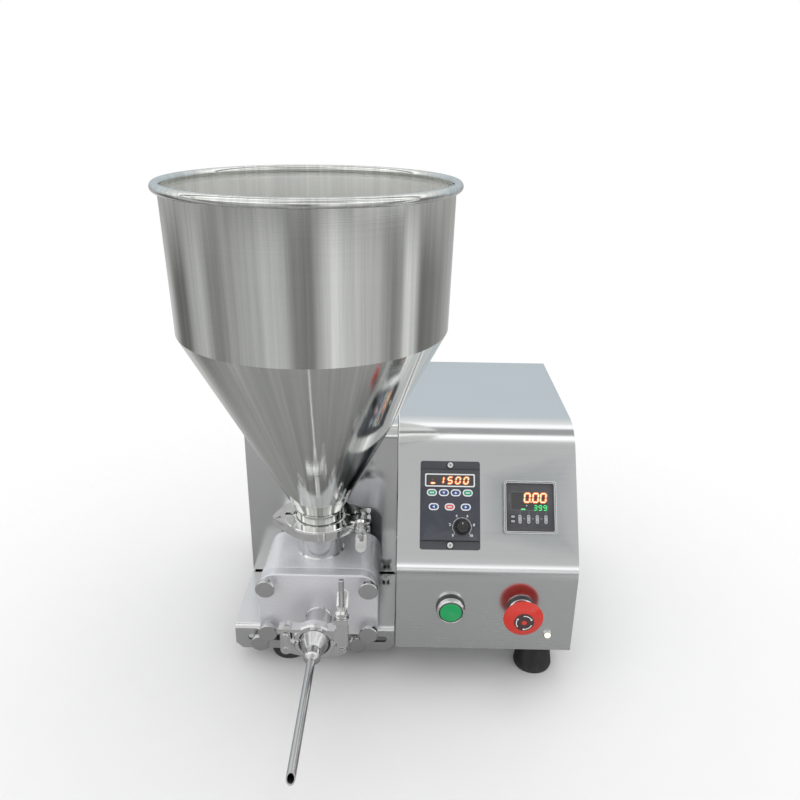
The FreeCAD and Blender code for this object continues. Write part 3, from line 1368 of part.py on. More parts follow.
def build():
    up = hopper_clamp_place
    out = spout_clamp_place
    nodes = {
        "control_cabinet": control_cabinet(),
        "cabinet_rear_cover": cabinet_rear_cover(),
        "drive_housing_cover": drive_housing_cover(),
        "base_tray": base_tray(),
        "rubber_feet": rubber_feet(),
        "case_screws": case_screws(),
        "screw_nut_plates": screw_nut_plates(),
        "power_inlet": power_inlet(),
        "controller_case": controller_case(),
        "controller_keypad": controller_keypad(),
        "controller_display": controller_display(),
        "speed_dial": speed_dial(),
        "counter_case": counter_case(),
        "counter_cover": counter_cover(),
        "counter_display": counter_display(),
        "counter_keypad": counter_keypad(),
        "start_button_bezel": start_button_bezel(),
        "start_button_cap": start_button_cap(),
        "estop_collar": estop_collar(),
        "estop_stem": estop_stem(),
        "estop_head": estop_head(),
        "switch_blocks": switch_blocks(),
        "indicator_lamp": indicator_lamp(),
        "gearmotor": gearmotor(),
        "gear_case": gear_case(),
        "shaft_bearings": shaft_bearings(),
        "drive_shaft": pump_shaft(1, coupling_front + coupling_grip),
        "shaft_coupling": shaft_coupling(),
        "driven_shaft": pump_shaft(-1, rear_bearing + bearing_width + shaft_tail),
        "drive_timing_gear": timing_gear(1),
        "driven_timing_gear": timing_gear(-1),
        "drive_rotor": rotor(1),
        "driven_rotor": rotor(-1),
        "pump_body": pump_body(),
        "pump_case_ring": pump_case_ring(),
        "pump_cover": pump_cover(),
        "pump_seals": pump_seals(),
        "cover_studs": cover_studs(),
        "tray_screw_left": tray_screw(left_screw_x),
        "tray_screw_right": tray_screw(right_screw_x),
        "tray_wing_screw": tray_wing_screw(),
        "hopper": hopper(),
        "inlet_tube": inlet_tube(),
        "ferrule_gaskets": ferrule_gaskets(),
        "hopper_clamp_rear": placed(hopper_clamp.fixed_half(), up),
        "hopper_clamp_front": placed(hopper_clamp.swinging_half(), up),
        "hopper_swing_bolt": placed(hopper_clamp.swing_bolt(), up),
        "hopper_wing_nut": placed(hopper_clamp.wing_nut(0), up),
        "outlet_tube": outlet_tube(),
        "nozzle": nozzle(),
        "spout_clamp_lower": placed(spout_clamp.fixed_half(), out),
        "spout_clamp_upper": placed(spout_clamp.swinging_half(), out),
        "spout_clamp_link": [placed(piece, out) for piece in spout_clamp.link()],
        "spout_swing_bolt": placed(spout_clamp.swing_bolt(flat=spout_clamp.bolt_flat), out),
        "spout_wing_nut": placed(spout_clamp.wing_nut(0), out),
        "clamp_pins": clamp_pins(),
    }
    for name in stud_places:
        nodes["cover_knob_" + name] = cover_knob(name)
    for name in pump_line + ["cover_knob_" + name for name in stud_places]:
        pieces = nodes[name] if isinstance(nodes[name], list) else [nodes[name]]
        for piece in pieces:
            piece.translate(Vector(pump_shift, 0, 0))
    return nodes


# the row's origin: on the table, under the middle of the machine's box
left_end = -(rim_r + bead_r)
back_end = rear_y + inlet_flange
origin = Vector((left_end + cabinet_right) / 2, (nozzle_end + back_end) / 2, 0)

os.makedirs("parts", exist_ok=True)
for name, shape in build().items():
    solid = Part.makeCompound(shape) if isinstance(shape, list) else shape
    solid.translate(-origin)
    solid.exportStep("parts/" + name + ".step")
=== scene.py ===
import math

import bmesh
import bpy
from mathutils import Euler, Matrix, Vector


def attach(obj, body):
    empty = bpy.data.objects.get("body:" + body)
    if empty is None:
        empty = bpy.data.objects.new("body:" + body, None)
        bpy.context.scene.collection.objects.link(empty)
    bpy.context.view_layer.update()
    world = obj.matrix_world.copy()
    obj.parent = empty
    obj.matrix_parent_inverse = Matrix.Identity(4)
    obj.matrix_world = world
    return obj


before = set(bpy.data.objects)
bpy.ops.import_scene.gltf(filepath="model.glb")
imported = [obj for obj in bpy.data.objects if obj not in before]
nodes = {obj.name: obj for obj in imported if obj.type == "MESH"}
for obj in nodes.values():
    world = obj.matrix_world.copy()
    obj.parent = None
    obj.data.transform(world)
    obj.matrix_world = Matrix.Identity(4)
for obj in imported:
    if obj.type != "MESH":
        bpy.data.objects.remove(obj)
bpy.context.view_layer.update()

# Everything is placed in the machine's millimetres, measured from the hopper's axis on the table.
# ORIGIN is where the frame's own origin lies in them.
ORIGIN = Vector((63.7, -19.65, 0.0))
MILLIMETRE = 0.001

SLOPE_TILT = 35.0           # degrees from upright
SLOPE_TOP_Y = 15.9          # where the slope's line meets the cabinet's top
CABINET_TOP = 260.0
FRONT_Y = -67.5             # upright front panel
BUTTON_Z = 94.2             # both buttons' axes
START_X = 138.9
STOP_X = 211.0
LAMP_PLACE = (240.0, 63.5)  # x and z on the front panel
CONTROLLER = (136.4, 82.2)  # middle: x, and distance down the slope
COUNTER = (216.4, 83.4)
DIAL = (148.1, 104.3)

# Heights above a panel.
FILM = 5.5                  # printed face of controller and counter
KEY = 5.95                  # top of the domed keys
INK = 0.05                  # thickness of print
EAR = 2.5                   # the controller's ears
DIAL_FACE = 16.0
STOP_FACE = 21.55


def at(x, y, z):
    """A place in the machine's millimetres, in the frame's metres."""
    return (Vector((x, y, z)) - ORIGIN) / 1000


# ---------------------------------------------------------------- shader helpers
def shade(colour, factor=1.0):
    """A colour made darker or lighter, with its alpha."""
    return [c * factor for c in colour] + [1.0]


class Tree:
    """Short names for building a node tree."""

    def __init__(self, tree):
        self.tree = tree

    def node(self, kind, links=None, **values):
        made = self.tree.nodes.new(kind)
        for key, value in values.items():
            setattr(made, key, value)
        for socket, source in (links or {}).items():
            self.put(made.inputs[socket], source)
        return made

    def put(self, socket, source):
        if isinstance(source, bpy.types.NodeSocket):
            self.tree.links.new(source, socket)
        else:
            socket.default_value = source

    def math(self, operation, a, b=0.0):
        return self.node("ShaderNodeMath", {0: a, 1: b}, operation=operation).outputs[0]

    def vector(self, operation, a, b=(0.0, 0.0, 0.0)):
        return self.node("ShaderNodeVectorMath", {0: a, 1: b}, operation=operation).outputs[0]

    def ramp(self, value, low, high, out_low=0.0, out_high=1.0):
        made = self.node("ShaderNodeMapRange", {"Value": value, "From Min": low, "From Max": high,
                                                "To Min": out_low, "To Max": out_high})
        return made.outputs["Result"]

    def mix(self, amount, a, b, blend="MIX"):
        made = self.node("ShaderNodeMix", data_type="RGBA", blend_type=blend)
        self.put(made.inputs["Factor"], amount)
        self.put(made.inputs["A"], a)
        self.put(made.inputs["B"], b)
        return made.outputs["Result"]

    def blend(self, amount, a, b):
        """A plain value between a and b."""
        rest = self.math("SUBTRACT", 1.0, amount)
        return self.math("ADD", self.math("MULTIPLY", a, rest), self.math("MULTIPLY", b, amount))

    def noise(self, place, scale, **values):
        """A noise texture's value; further values are its sockets."""
        made = self.node("ShaderNodeTexNoise", {"Vector": place, "Scale": scale, **values})
        return made.outputs[0]

    def effect(self, group, place, **values):
        """One of the shared effects, with this material's own values."""
        return self.node("ShaderNodeGroup", {"Vector": place, **values}, node_tree=group).outputs

    def height(self, place):
        return self.node("ShaderNodeSeparateXYZ", {0: place}).outputs["Z"]


def effect_group(name, inputs, outputs):
    """An empty shader group with its sockets; returns the group, its Tree and its end nodes."""
    group = bpy.data.node_groups.new(name, "ShaderNodeTree")
    for label, kind, value in inputs:
        socket = group.interface.new_socket(label, in_out="INPUT", socket_type=kind)
        if value is not None:
            socket.default_value = value
    for label, kind in outputs:
        group.interface.new_socket(label, in_out="OUTPUT", socket_type=kind)
    tree = Tree(group)
    return group, tree, tree.node("NodeGroupInput"), tree.node("NodeGroupOutput")


ALONG_X = (3.0, 900.0, 900.0, 1.0)      # stretch of a grain that runs along X
ALONG_Y = (900.0, 3.0, 900.0, 1.0)
EDGE_START = 0.53                       # pointiness from which an edge shows wear and a painted highlight
EDGE_WIDTH = 0.06


def brushed_grain_group():
    """Fine parallel scratches: stretched noise, with broad cloudy variation."""
    group, t, given, result = effect_group(
        "brushed_grain",
        [("Vector", "NodeSocketVector", None), ("Stretch", "NodeSocketVector", (3.0, 3.0, 900.0))],
        [("Grain", "NodeSocketFloat"), ("Cloud", "NodeSocketFloat"), ("Height", "NodeSocketFloat")])
    scaled = t.vector("MULTIPLY", given.outputs["Vector"], given.outputs["Stretch"])
    fine = t.noise(scaled, 1.0, Detail=3.0, Roughness=0.65)
    second = t.vector("MULTIPLY", scaled, (2.7, 2.7, 2.7))
    finer = t.noise(second, 1.0, Detail=2.0, Roughness=0.5)
    grain = t.math("ADD", t.math("MULTIPLY", fine, 0.6), t.math("MULTIPLY", finer, 0.4))
    cloud = t.noise(given.outputs["Vector"], 14.0, Detail=4.0, Roughness=0.6)
    t.put(result.inputs["Grain"], t.ramp(grain, 0.3, 0.7))
    t.put(result.inputs["Cloud"], t.ramp(cloud, 0.35, 0.65))
    t.put(result.inputs["Height"], grain)
    return group


def folded_sides_group():
    """Mask of a folded sheet's left and right sides, from its normal."""
    group, t, given, result = effect_group(
        "folded_sides", [("Vector", "NodeSocketVector", None)], [("Side", "NodeSocketFloat")])
    facing = t.node("ShaderNodeSeparateXYZ", {0: given.outputs["Vector"]}).outputs["X"]
    t.put(result.inputs["Side"], t.ramp(t.math("ABSOLUTE", facing), 0.6, 0.8))
    return group


def edge_wear_group():
    """Mask of edges from the surface's pointiness, broken up with noise; the edges it brightens
    show wear and a painted highlight.
    """
    group, t, given, result = effect_group(
        "edge_wear_and_highlight",
        [("Vector", "NodeSocketVector", None), ("Amount", "NodeSocketFloat", 0.5)],
        [("Edge", "NodeSocketFloat")])
    noise = t.noise(given.outputs["Vector"], 60.0, Detail=3.0)
    uneven = t.math("MULTIPLY", t.math("SUBTRACT", noise, 0.5), 0.02)
    point = t.math("ADD", t.node("ShaderNodeNewGeometry").outputs["Pointiness"], uneven)
    worn = t.ramp(point, EDGE_START, EDGE_START + EDGE_WIDTH)
    t.put(result.inputs["Edge"], t.math("MULTIPLY", worn, given.outputs["Amount"]))
    return group


def smudge_group():
    """Faint wiping marks."""
    group, t, given, result = effect_group(
        "smudges",
        [("Vector", "NodeSocketVector", None), ("Scale", "NodeSocketFloat", 9.0)],
        [("Smudge", "NodeSocketFloat")])
    warp = t.noise(given.outputs["Vector"], given.outputs["Scale"], Detail=5.0, Roughness=0.7,
                   Distortion=1.2)
    t.put(result.inputs["Smudge"], t.ramp(warp, 0.42, 0.72))
    return group


def cast_grain_group():
    """Fine granular skin of cast, blasted or moulded surfaces."""
    group, t, given, result = effect_group(
        "cast_grain",
        [("Vector", "NodeSocketVector", None), ("Scale", "NodeSocketFloat", 900.0)],
        [("Grain", "NodeSocketFloat")])
    noise = t.noise(given.outputs["Vector"], given.outputs["Scale"], Detail=3.0, Roughness=0.6)
    cell_scale = t.math("MULTIPLY", given.outputs["Scale"], 0.6)
    cell = t.node("ShaderNodeTexVoronoi", {"Vector": given.outputs["Vector"], "Scale": cell_scale})
    t.put(result.inputs["Grain"], t.math("ADD", t.math("MULTIPLY", noise, 0.7),
                                         t.math("MULTIPLY", cell.outputs["Distance"], 0.5)))
    return group


def uneven_light_group():
    """Soft clouds in diffused light, for lit bars and lenses."""
    group, t, given, result = effect_group(
        "uneven_light", [("Vector", "NodeSocketVector", None)], [("Cloud", "NodeSocketFloat")])
    cloud = t.noise(given.outputs["Vector"], 900.0, Detail=2.0)
    t.put(result.inputs["Cloud"], t.ramp(cloud, 0.35, 0.65))
    return group


BRUSHED = brushed_grain_group()
FOLDED = folded_sides_group()
EDGE_WEAR_AND_HIGHLIGHT = edge_wear_group()
SMUDGES = smudge_group()
CAST = cast_grain_group()
UNEVEN_LIGHT = uneven_light_group()


def start_material(name, **sockets):
    """A material with a Principled shader; uniform values sit on the shader's own sockets."""
    material = bpy.data.materials.new(name)
    material.use_nodes = True
    t = Tree(material.node_tree)
    shader = material.node_tree.nodes["Principled BSDF"]
    for socket, value in sockets.items():
        shader.inputs[socket.replace("_", " ")].default_value = value
    place = t.node("ShaderNodeTexCoord").outputs["Object"]
    return material, t, shader, place


def bump(t, shader, height, strength, distance):
    made = t.node("ShaderNodeBump", {"Height": height, "Strength": strength, "Distance": distance})
    t.put(shader.inputs["Normal"], made.outputs["Normal"])


def brushed_steel(name, colour, rough=(0.2, 0.34), stretch=(3.0, 3.0, 900.0), grain=0.35,
                  smudge=0.05, folded=False, clouds=0.0, relief=0.12):
    """Sheet steel with a brushed grain, soft clouds, faint smudges and brighter edges, partly wear
    and partly a painted highlight.

    On a folded sheet the grain runs along X, and along Y on its two sides.
    """
    material, t, shader, place = start_material(name, Metallic=1.0)
    if folded:
        normal = t.node("ShaderNodeTexCoord").outputs["Normal"]
        stretch = t.mix(t.effect(FOLDED, normal)["Side"], ALONG_X, ALONG_Y)
    skin = t.effect(BRUSHED, place, Stretch=stretch)
    smudges = t.effect(SMUDGES, place)["Smudge"]
    edges = t.effect(EDGE_WEAR_AND_HIGHLIGHT, place, Amount=0.5)["Edge"]
    light = [min(c * 1.06, 1.0) for c in colour] + [1.0]
    base = t.mix(t.ramp(skin["Grain"], 0, 1, 0.5 - grain, 0.5 + grain), shade(colour, 0.9), light)
    base = t.mix(t.math("MULTIPLY", smudges, smudge), base, shade(colour, 0.8))
    # brighter edges: partly wear, partly a painted highlight
    base = t.mix(edges, base, (0.92, 0.92, 0.92, 1.0))
    if clouds:
        base = t.mix(t.math("MULTIPLY", skin["Cloud"], clouds), base, (0.86, 0.88, 0.9, 1.0))
    t.put(shader.inputs["Base Color"], base)
    spread = t.math("ADD", t.math("MULTIPLY", skin["Grain"], 0.6),
                    t.math("MULTIPLY", skin["Cloud"], 0.4))
    t.put(shader.inputs["Roughness"], t.ramp(spread, 0, 1, rough[0], rough[1]))
    bump(t, shader, skin["Height"], relief, 0.0004)
    return material


def dull_below(material, start, end, amount):
    """A sheet that gets duller downwards, between two heights."""
    t = Tree(material.node_tree)
    rough = material.node_tree.nodes["Principled BSDF"].inputs["Roughness"]
    place = t.node("ShaderNodeTexCoord").outputs["Object"]
    more = t.ramp(t.height(place), start, end, 0.0, amount)
    t.put(rough, t.math("ADD", rough.links[0].from_socket, more))


def spun_hopper(name):
    """Polished hopper sheet: outside, painted reflections as bands round its axis; inside, rougher
    and paler, painted light for the light the hollow gathers.
    """
    material = brushed_steel(name, (0.86, 0.865, 0.85), rough=(0.05, 0.1),
                             stretch=(2.0, 2.0, 1200.0), grain=0.2, relief=0.06)
    t = Tree(material.node_tree)
    shader = material.node_tree.nodes["Principled BSDF"]
    sockets = shader.inputs
    places = t.node("ShaderNodeTexCoord").outputs
    axis = at(0, 0, 0)
    from_axis = t.vector("ADD", places["Object"], (-axis.x, -axis.y, 0.0))
    level = t.vector("MULTIPLY", from_axis, (1.0, 1.0, 0.0))
    along = t.vector("MULTIPLY", places["Object"], (0.0, 0.0, 0.12))
    streaked = t.vector("ADD", t.vector("NORMALIZE", level), along)
    # Painted reflections: bands round the axis that darken the outside's colour by angle.
    painted_streaks = t.noise(streaked, 12.0, Detail=5.0, Roughness=0.75)
    painted_reflection_streaks = t.mix(t.ramp(painted_streaks, 0.32, 0.68), (0.7, 0.715, 0.7, 1.0), (1.0, 1.0, 0.985, 1.0))
    outside = t.mix(1.0, sockets["Base Color"].links[0].from_socket, painted_reflection_streaks, "MULTIPLY")
    # Inside: a paler colour and a lower metallic, painted light for the light the hollow gathers;
    # its roughness is its own.
    inside_painted_light_colour = (0.9, 0.905, 0.88)
    inside_painted_light = t.mix(t.ramp(painted_streaks, 0.3, 0.7), shade(inside_painted_light_colour, 0.8), shade(inside_painted_light_colour))

    facing = t.node("ShaderNodeVectorMath", {0: level, 1: places["Normal"]},
                    operation="DOT_PRODUCT").outputs["Value"]
    below_rim = t.ramp(t.height(places["Object"]), 0.5, 0.496)
    inside = t.math("MULTIPLY", t.ramp(facing, 0.0, -0.002), below_rim)
    polished = sockets["Roughness"].links[0].from_socket
    t.put(sockets["Base Color"], t.mix(inside, outside, inside_painted_light))
    t.put(sockets["Roughness"], t.blend(inside, polished, 0.3))
    t.put(sockets["Metallic"], t.blend(inside, 1.0, 0.6))
    return material


def cast_metal(name, colour, rough=(0.1, 0.2), scale=900.0, depth=0.03, edge=0.6, metallic=1.0,
               dirt=0.15):
    """Polished or tumbled cast metal: uneven skin, darker hollows, bright edges that are partly
    wear and partly a painted highlight.
    """
    material, t, shader, place = start_material(name, Metallic=metallic)
    skin = t.effect(CAST, place, Scale=scale)["Grain"]
    edges = t.effect(EDGE_WEAR_AND_HIGHLIGHT, place, Amount=edge)["Edge"]
    smudges = t.effect(SMUDGES, place, Scale=30.0)["Smudge"]
    base = t.mix(t.ramp(skin, 0.3, 0.9), shade(colour, 0.86), shade(colour))
    base = t.mix(t.math("MULTIPLY", smudges, dirt), base, shade(colour, 0.7))
    # bright edges: partly wear, partly a painted highlight
    t.put(shader.inputs["Base Color"], t.mix(edges, base, (0.95, 0.95, 0.95, 1.0)))
    t.put(shader.inputs["Roughness"], t.ramp(smudges, 0, 1, rough[0], rough[1]))
    bump(t, shader, skin, depth, 0.0006)
    return material


def moulded_plastic(name, colour, rough=(0.35, 0.5), scale=1400.0, depth=0.15, **sockets):
    """Moulded plastic or rubber with a fine skin, faint smudges and slightly paler edges, partly
    wear and partly a painted highlight.
    """
    material, t, shader, place = start_material(name, **sockets)
    skin = t.effect(CAST, place, Scale=scale)["Grain"]
    smudges = t.effect(SMUDGES, place, Scale=25.0)["Smudge"]
    edges = t.effect(EDGE_WEAR_AND_HIGHLIGHT, place, Amount=0.35)["Edge"]
    pale = [c + (0.5 - c) * 0.18 for c in colour] + [1.0]
    base = t.mix(t.math("MULTIPLY", smudges, 0.3), shade(colour), pale)
    # paler edges: partly wear, partly a painted highlight
    t.put(shader.inputs["Base Color"], t.mix(edges, base, pale))
    t.put(shader.inputs["Roughness"], t.ramp(smudges, 0, 1, rough[0], rough[1]))
    bump(t, shader, skin, depth, 0.0003)
    return material


def printed_ink(name, colour):
    """Screen-printed ink: slightly uneven cover and a soft sheen."""
    material, t, shader, place = start_material(name, Coat_Weight=0.2)
    skin = t.effect(CAST, place, Scale=2600.0)["Grain"]
    cover = t.ramp(skin, 0.3, 0.9)
    t.put(shader.inputs["Base Color"], t.mix(cover, shade(colour, 0.88), shade(colour)))
    t.put(shader.inputs["Roughness"], t.ramp(skin, 0.2, 0.9, 0.45, 0.6))
    bump(t, shader, skin, 0.08, 0.0001)
    return material


def lit_bars(name, colour, edge_colour, strength):
    """Lit display bars, a little uneven inside as diffused light is."""
    material, t, shader, place = start_material(name, Roughness=0.3, Emission_Strength=strength)
    shader.inputs["Base Color"].default_value = shade(colour, 0.3)
    cloud = t.effect(UNEVEN_LIGHT, place)["Cloud"]
    t.put(shader.inputs["Emission Color"], t.mix(cloud, shade(edge_colour), shade(colour)))
    return material


def clear_plastic(name, colour):
    """Clear moulded plastic with a faint haze of fine scratches."""
    material, t, shader, place = start_material(name, Transmission_Weight=0.85, IOR=1.49)
    haze = t.effect(SMUDGES, place, Scale=60.0)["Smudge"]
    t.put(shader.inputs["Base Color"], t.mix(haze, shade(colour), shade(colour, 0.9)))
    t.put(shader.inputs["Roughness"], t.ramp(haze, 0, 1, 0.05, 0.16))
    return material


# ---------------------------------------------------------------- finishes of the machine
cabinet_steel = brushed_steel("cabinet_steel", (0.605, 0.635, 0.64), rough=(0.1, 0.18), grain=0.3,
                              folded=True, clouds=0.12, smudge=0.12, relief=0.05)
dull_below(cabinet_steel, 0.125, 0.1, 0.12)
housing_steel = brushed_steel("housing_steel", (0.6, 0.605, 0.61), rough=(0.1, 0.18), grain=0.25,
                              folded=True, clouds=0.08, relief=0.05)
tray_steel = brushed_steel("tray_steel", (0.62, 0.625, 0.63), rough=(0.18, 0.28), grain=0.12,
                           folded=True, relief=0.03)
hopper_steel = spun_hopper("hopper_steel")
tube_steel = brushed_steel("tube_steel", (0.64, 0.64, 0.645), rough=(0.1, 0.2),
                           stretch=(300.0, 20.0, 300.0), grain=0.2)
inlet_steel = brushed_steel("inlet_steel", (0.64, 0.64, 0.645), rough=(0.12, 0.24),
                            stretch=(4.0, 4.0, 1200.0), grain=0.25)
knob_steel = brushed_steel("knob_steel", (0.62, 0.62, 0.62), rough=(0.14, 0.26),
                           stretch=(500.0, 60.0, 500.0), grain=0.25)
bolt_steel = brushed_steel("bolt_steel", (0.62, 0.62, 0.62), stretch=(400.0, 400.0, 400.0))
gear_steel = brushed_steel("gear_steel", (0.5, 0.5, 0.51), rough=(0.2, 0.36),
                           stretch=(500.0, 8.0, 500.0))
rotor_steel = brushed_steel("rotor_steel", (0.7, 0.7, 0.7), rough=(0.16, 0.3),
                            stretch=(500.0, 8.0, 500.0))

pump_metal = cast_metal("pump_metal", (0.86, 0.86, 0.9), rough=(0.3, 0.34), depth=0.12, edge=0.15,
                        metallic=0.46, dirt=0.03)
barrel_metal = cast_metal("barrel_metal", (0.95, 0.96, 1.0), rough=(0.22, 0.28), depth=0.1,
                          edge=0.15, metallic=0.3, dirt=0.03)
clamp_metal = cast_metal("clamp_metal", (0.86, 0.86, 0.85), rough=(0.05, 0.12), scale=110.0,
                         depth=0.22, edge=0.5)
bezel_metal = cast_metal("bezel_metal", (0.78, 0.78, 0.78), rough=(0.14, 0.24))
lamp_metal = cast_metal("lamp_metal", (0.72, 0.72, 0.72), rough=(0.12, 0.2))
chrome = cast_metal("chrome", (0.86, 0.86, 0.87), rough=(0.06, 0.14), depth=0.02)
bright_steel = cast_metal("bright_steel", (0.86, 0.86, 0.87), rough=(0.12, 0.24))
# dark metal for the painted shade in the screws' cross recesses
recess_painted_shade = cast_metal("recess_painted_shade", (0.16, 0.16, 0.17), rough=(0.3, 0.45), depth=0.05, edge=0.2)

case_paint = moulded_plastic("case_paint", (0.2, 0.23, 0.27), rough=(0.4, 0.55), scale=500.0,
                             depth=0.4)
foot_rubber = moulded_plastic("foot_rubber", (0.012, 0.012, 0.012), rough=(0.5, 0.7), depth=0.3)
seal_rubber = moulded_plastic("seal_rubber", (0.02, 0.02, 0.02), rough=(0.5, 0.65))
gasket_rubber = moulded_plastic("gasket_rubber", (0.75, 0.74, 0.7), rough=(0.4, 0.55))
black_plastic = moulded_plastic("black_plastic", (0.008, 0.008, 0.01))
grey_plastic = moulded_plastic("grey_plastic", (0.035, 0.038, 0.05), rough=(0.4, 0.55))
counter_plastic = moulded_plastic("counter_plastic", (0.06, 0.06, 0.07))
keypad_film = moulded_plastic("keypad_film", (0.05, 0.056, 0.074), rough=(0.34, 0.46), scale=2500.0)
silicone = moulded_plastic("silicone", (0.07, 0.07, 0.08), rough=(0.45, 0.6))
display_glass = moulded_plastic("display_glass", (0.006, 0.006, 0.008), rough=(0.06, 0.14),
                                depth=0.0, Coat_Weight=1.0)
green_lens = moulded_plastic("green_lens", (0.0, 0.36, 0.1), rough=(0.28, 0.4), Coat_Weight=0.2)
red_head = moulded_plastic("red_head", (0.66, 0.022, 0.008), rough=(0.28, 0.4), depth=0.05,
                           Coat_Weight=0.2)
# pale plastic for the painted highlights on the counter's clear surround
frame_painted_highlight = moulded_plastic("frame_painted_highlight", (0.72, 0.73, 0.74), rough=(0.12, 0.22), depth=0.03,
                              Coat_Weight=0.8)
pale_key = moulded_plastic("pale_key", (0.42, 0.43, 0.45), rough=(0.4, 0.55))
worn_black = moulded_plastic("worn_black", (0.016, 0.014, 0.014), rough=(0.3, 0.45))
red_disc = moulded_plastic("red_disc", (0.045, 0.008, 0.01), rough=(0.25, 0.4), Coat_Weight=0.3)
clear_edge = clear_plastic("clear_edge", (0.96, 0.97, 0.97))

white_ink = printed_ink("white_ink", (0.93, 0.94, 0.95))
grey_ink = printed_ink("grey_ink", (0.3, 0.31, 0.33))
dark_ink = printed_ink("dark_ink", (0.035, 0.036, 0.042))
# black for painted shade, made with the printed-ink shader: the lines between the controller's face
# and ears, and the rings round its screw heads
black_painted_shade = printed_ink("black_painted_shade", (0.012, 0.012, 0.014))
green_ink = printed_ink("green_ink", (0.015, 0.36, 0.2))
blue_ink = printed_ink("blue_ink", (0.035, 0.08, 0.28))
red_ink = printed_ink("red_ink", (0.72, 0.12, 0.11))

lamp_glow = lit_bars("lamp_glow", (1.0, 1.0, 0.9), (0.86, 0.95, 0.7), 1.0)
amber_core = lit_bars("amber_core", (1.0, 0.9, 0.62), (1.0, 0.72, 0.25), 1.0)
amber_glow = lit_bars("amber_glow", (0.9, 0.16, 0.02), (0.55, 0.03, 0.01), 0.9)
green_core = lit_bars("green_core", (0.16, 1.0, 0.35), (0.08, 0.75, 0.2), 0.9)
green_glow = lit_bars("green_glow", (0.01, 0.3, 0.06), (0.005, 0.15, 0.04), 0.7)

FINISH = {
    cabinet_steel: ["control_cabinet", "cabinet_rear_cover"],
    housing_steel: ["drive_housing_cover"],
    tray_steel: ["base_tray"],
    hopper_steel: ["hopper"],
    inlet_steel: ["inlet_tube"],
    tube_steel: ["outlet_tube", "nozzle"],
    knob_steel: ["cover_knob_upper_left", "cover_knob_upper_right", "cover_knob_lower_left",
                 "cover_knob_lower_right", "tray_screw_left", "tray_screw_right",
                 "tray_wing_screw"],
    pump_metal: ["pump_cover"],
    barrel_metal: ["pump_body", "pump_case_ring"],
    clamp_metal: ["hopper_clamp_rear", "hopper_clamp_front", "hopper_wing_nut",
                  "spout_clamp_lower", "spout_clamp_upper", "spout_clamp_link",
                  "spout_wing_nut"],
    bolt_steel: ["hopper_swing_bolt", "spout_swing_bolt", "clamp_pins", "cover_studs",
                 "case_screws", "screw_nut_plates", "drive_shaft", "driven_shaft",
                 "shaft_coupling"],
    gear_steel: ["drive_timing_gear", "driven_timing_gear", "shaft_bearings"],
    rotor_steel: ["drive_rotor", "driven_rotor"],
    case_paint: ["gearmotor", "gear_case"],
    foot_rubber: ["rubber_feet"],
    seal_rubber: ["pump_seals"],
    gasket_rubber: ["ferrule_gaskets"],
    black_plastic: ["power_inlet", "switch_blocks", "estop_stem", "speed_dial"],
    grey_plastic: ["controller_case"],
    counter_plastic: ["counter_case"],
    keypad_film: ["controller_keypad"],
    silicone: ["counter_keypad"],
    clear_edge: ["counter_cover"],
    display_glass: ["controller_display", "counter_display"],
    green_lens: ["start_button_cap"],
    red_head: ["estop_head"],
    bezel_metal: ["start_button_bezel"],
    chrome: ["estop_collar"],
    lamp_metal: ["indicator_lamp"],
}
for finish, names in FINISH.items():
    for name in names:
        mesh = nodes[name].data
        mesh.materials.clear()
        mesh.materials.append(finish)


# ---------------------------------------------------------------- fine pieces on the panels
def slope_frame(x, s):
    """The sloped panel's own frame: x across, s down from its upper edge, Z out of the panel."""
    down = math.radians(SLOPE_TILT)
    place = at(x, SLOPE_TOP_Y - s * math.sin(down), CABINET_TOP - s * math.cos(down))
    turn = Matrix.Rotation(math.radians(90 - SLOPE_TILT), 4, "X")
    return Matrix.Translation(place) @ turn @ Matrix.Scale(MILLIMETRE, 4)


def front_frame(x, z):
    """The upright panel's own frame, Z out of the panel."""
    turn = Matrix.Rotation(math.radians(90), 4, "X")
    return Matrix.Translation(at(x, FRONT_Y, z)) @ turn @ Matrix.Scale(MILLIMETRE, 4)


def on_circle(radius, degrees, x=0.0, y=0.0):
    a = math.radians(degrees)
    return x + radius * math.cos(a), y + radius * math.sin(a)


def round_corners(width, height, radius, steps=5):
    """Outline of a rectangle with rounded corners, about its middle."""
    points = []
    for cx, cy, first in ((1, 1, 0), (-1, 1, 90), (-1, -1, 180), (1, -1, 270)):
        middle = cx * (width / 2 - radius), cy * (height / 2 - radius)
        points += [on_circle(radius, first + 90 * i / steps, *middle) for i in range(steps + 1)]
    return points


def round_outline(radius, steps=40):
    return oval_outline(radius, radius, steps)


def oval_outline(across, up, steps):
    turns = [2 * math.pi * i / steps for i in range(steps)]
    return [(across * math.cos(a), up * math.sin(a)) for a in turns]


def stadium(width, height, steps=10):
    """Outline of a key with fully rounded ends."""
    return round_corners(width, height, min(width, height) / 2 - 0.01, steps)


def moved(outline, x=0.0, y=0.0, slant=0.0, turn=0.0):
    """An outline leaned over, turned and shifted."""
    a = math.radians(turn)
    lean = math.tan(math.radians(slant))
    leaned = [(u + v * lean, v) for u, v in outline]
    return [(x + u * math.cos(a) - v * math.sin(a), y + u * math.sin(a) + v * math.cos(a))
            for u, v in leaned]


def strip(p, q, width):
    """Outline of a straight printed line."""
    d = Vector((q[0] - p[0], q[1] - p[1]))
    side = Vector((-d.y, d.x)).normalized() * width / 2
    return [(p[0] - side.x, p[1] - side.y), (q[0] - side.x, q[1] - side.y),
            (q[0] + side.x, q[1] + side.y), (p[0] + side.x, p[1] + side.y)]


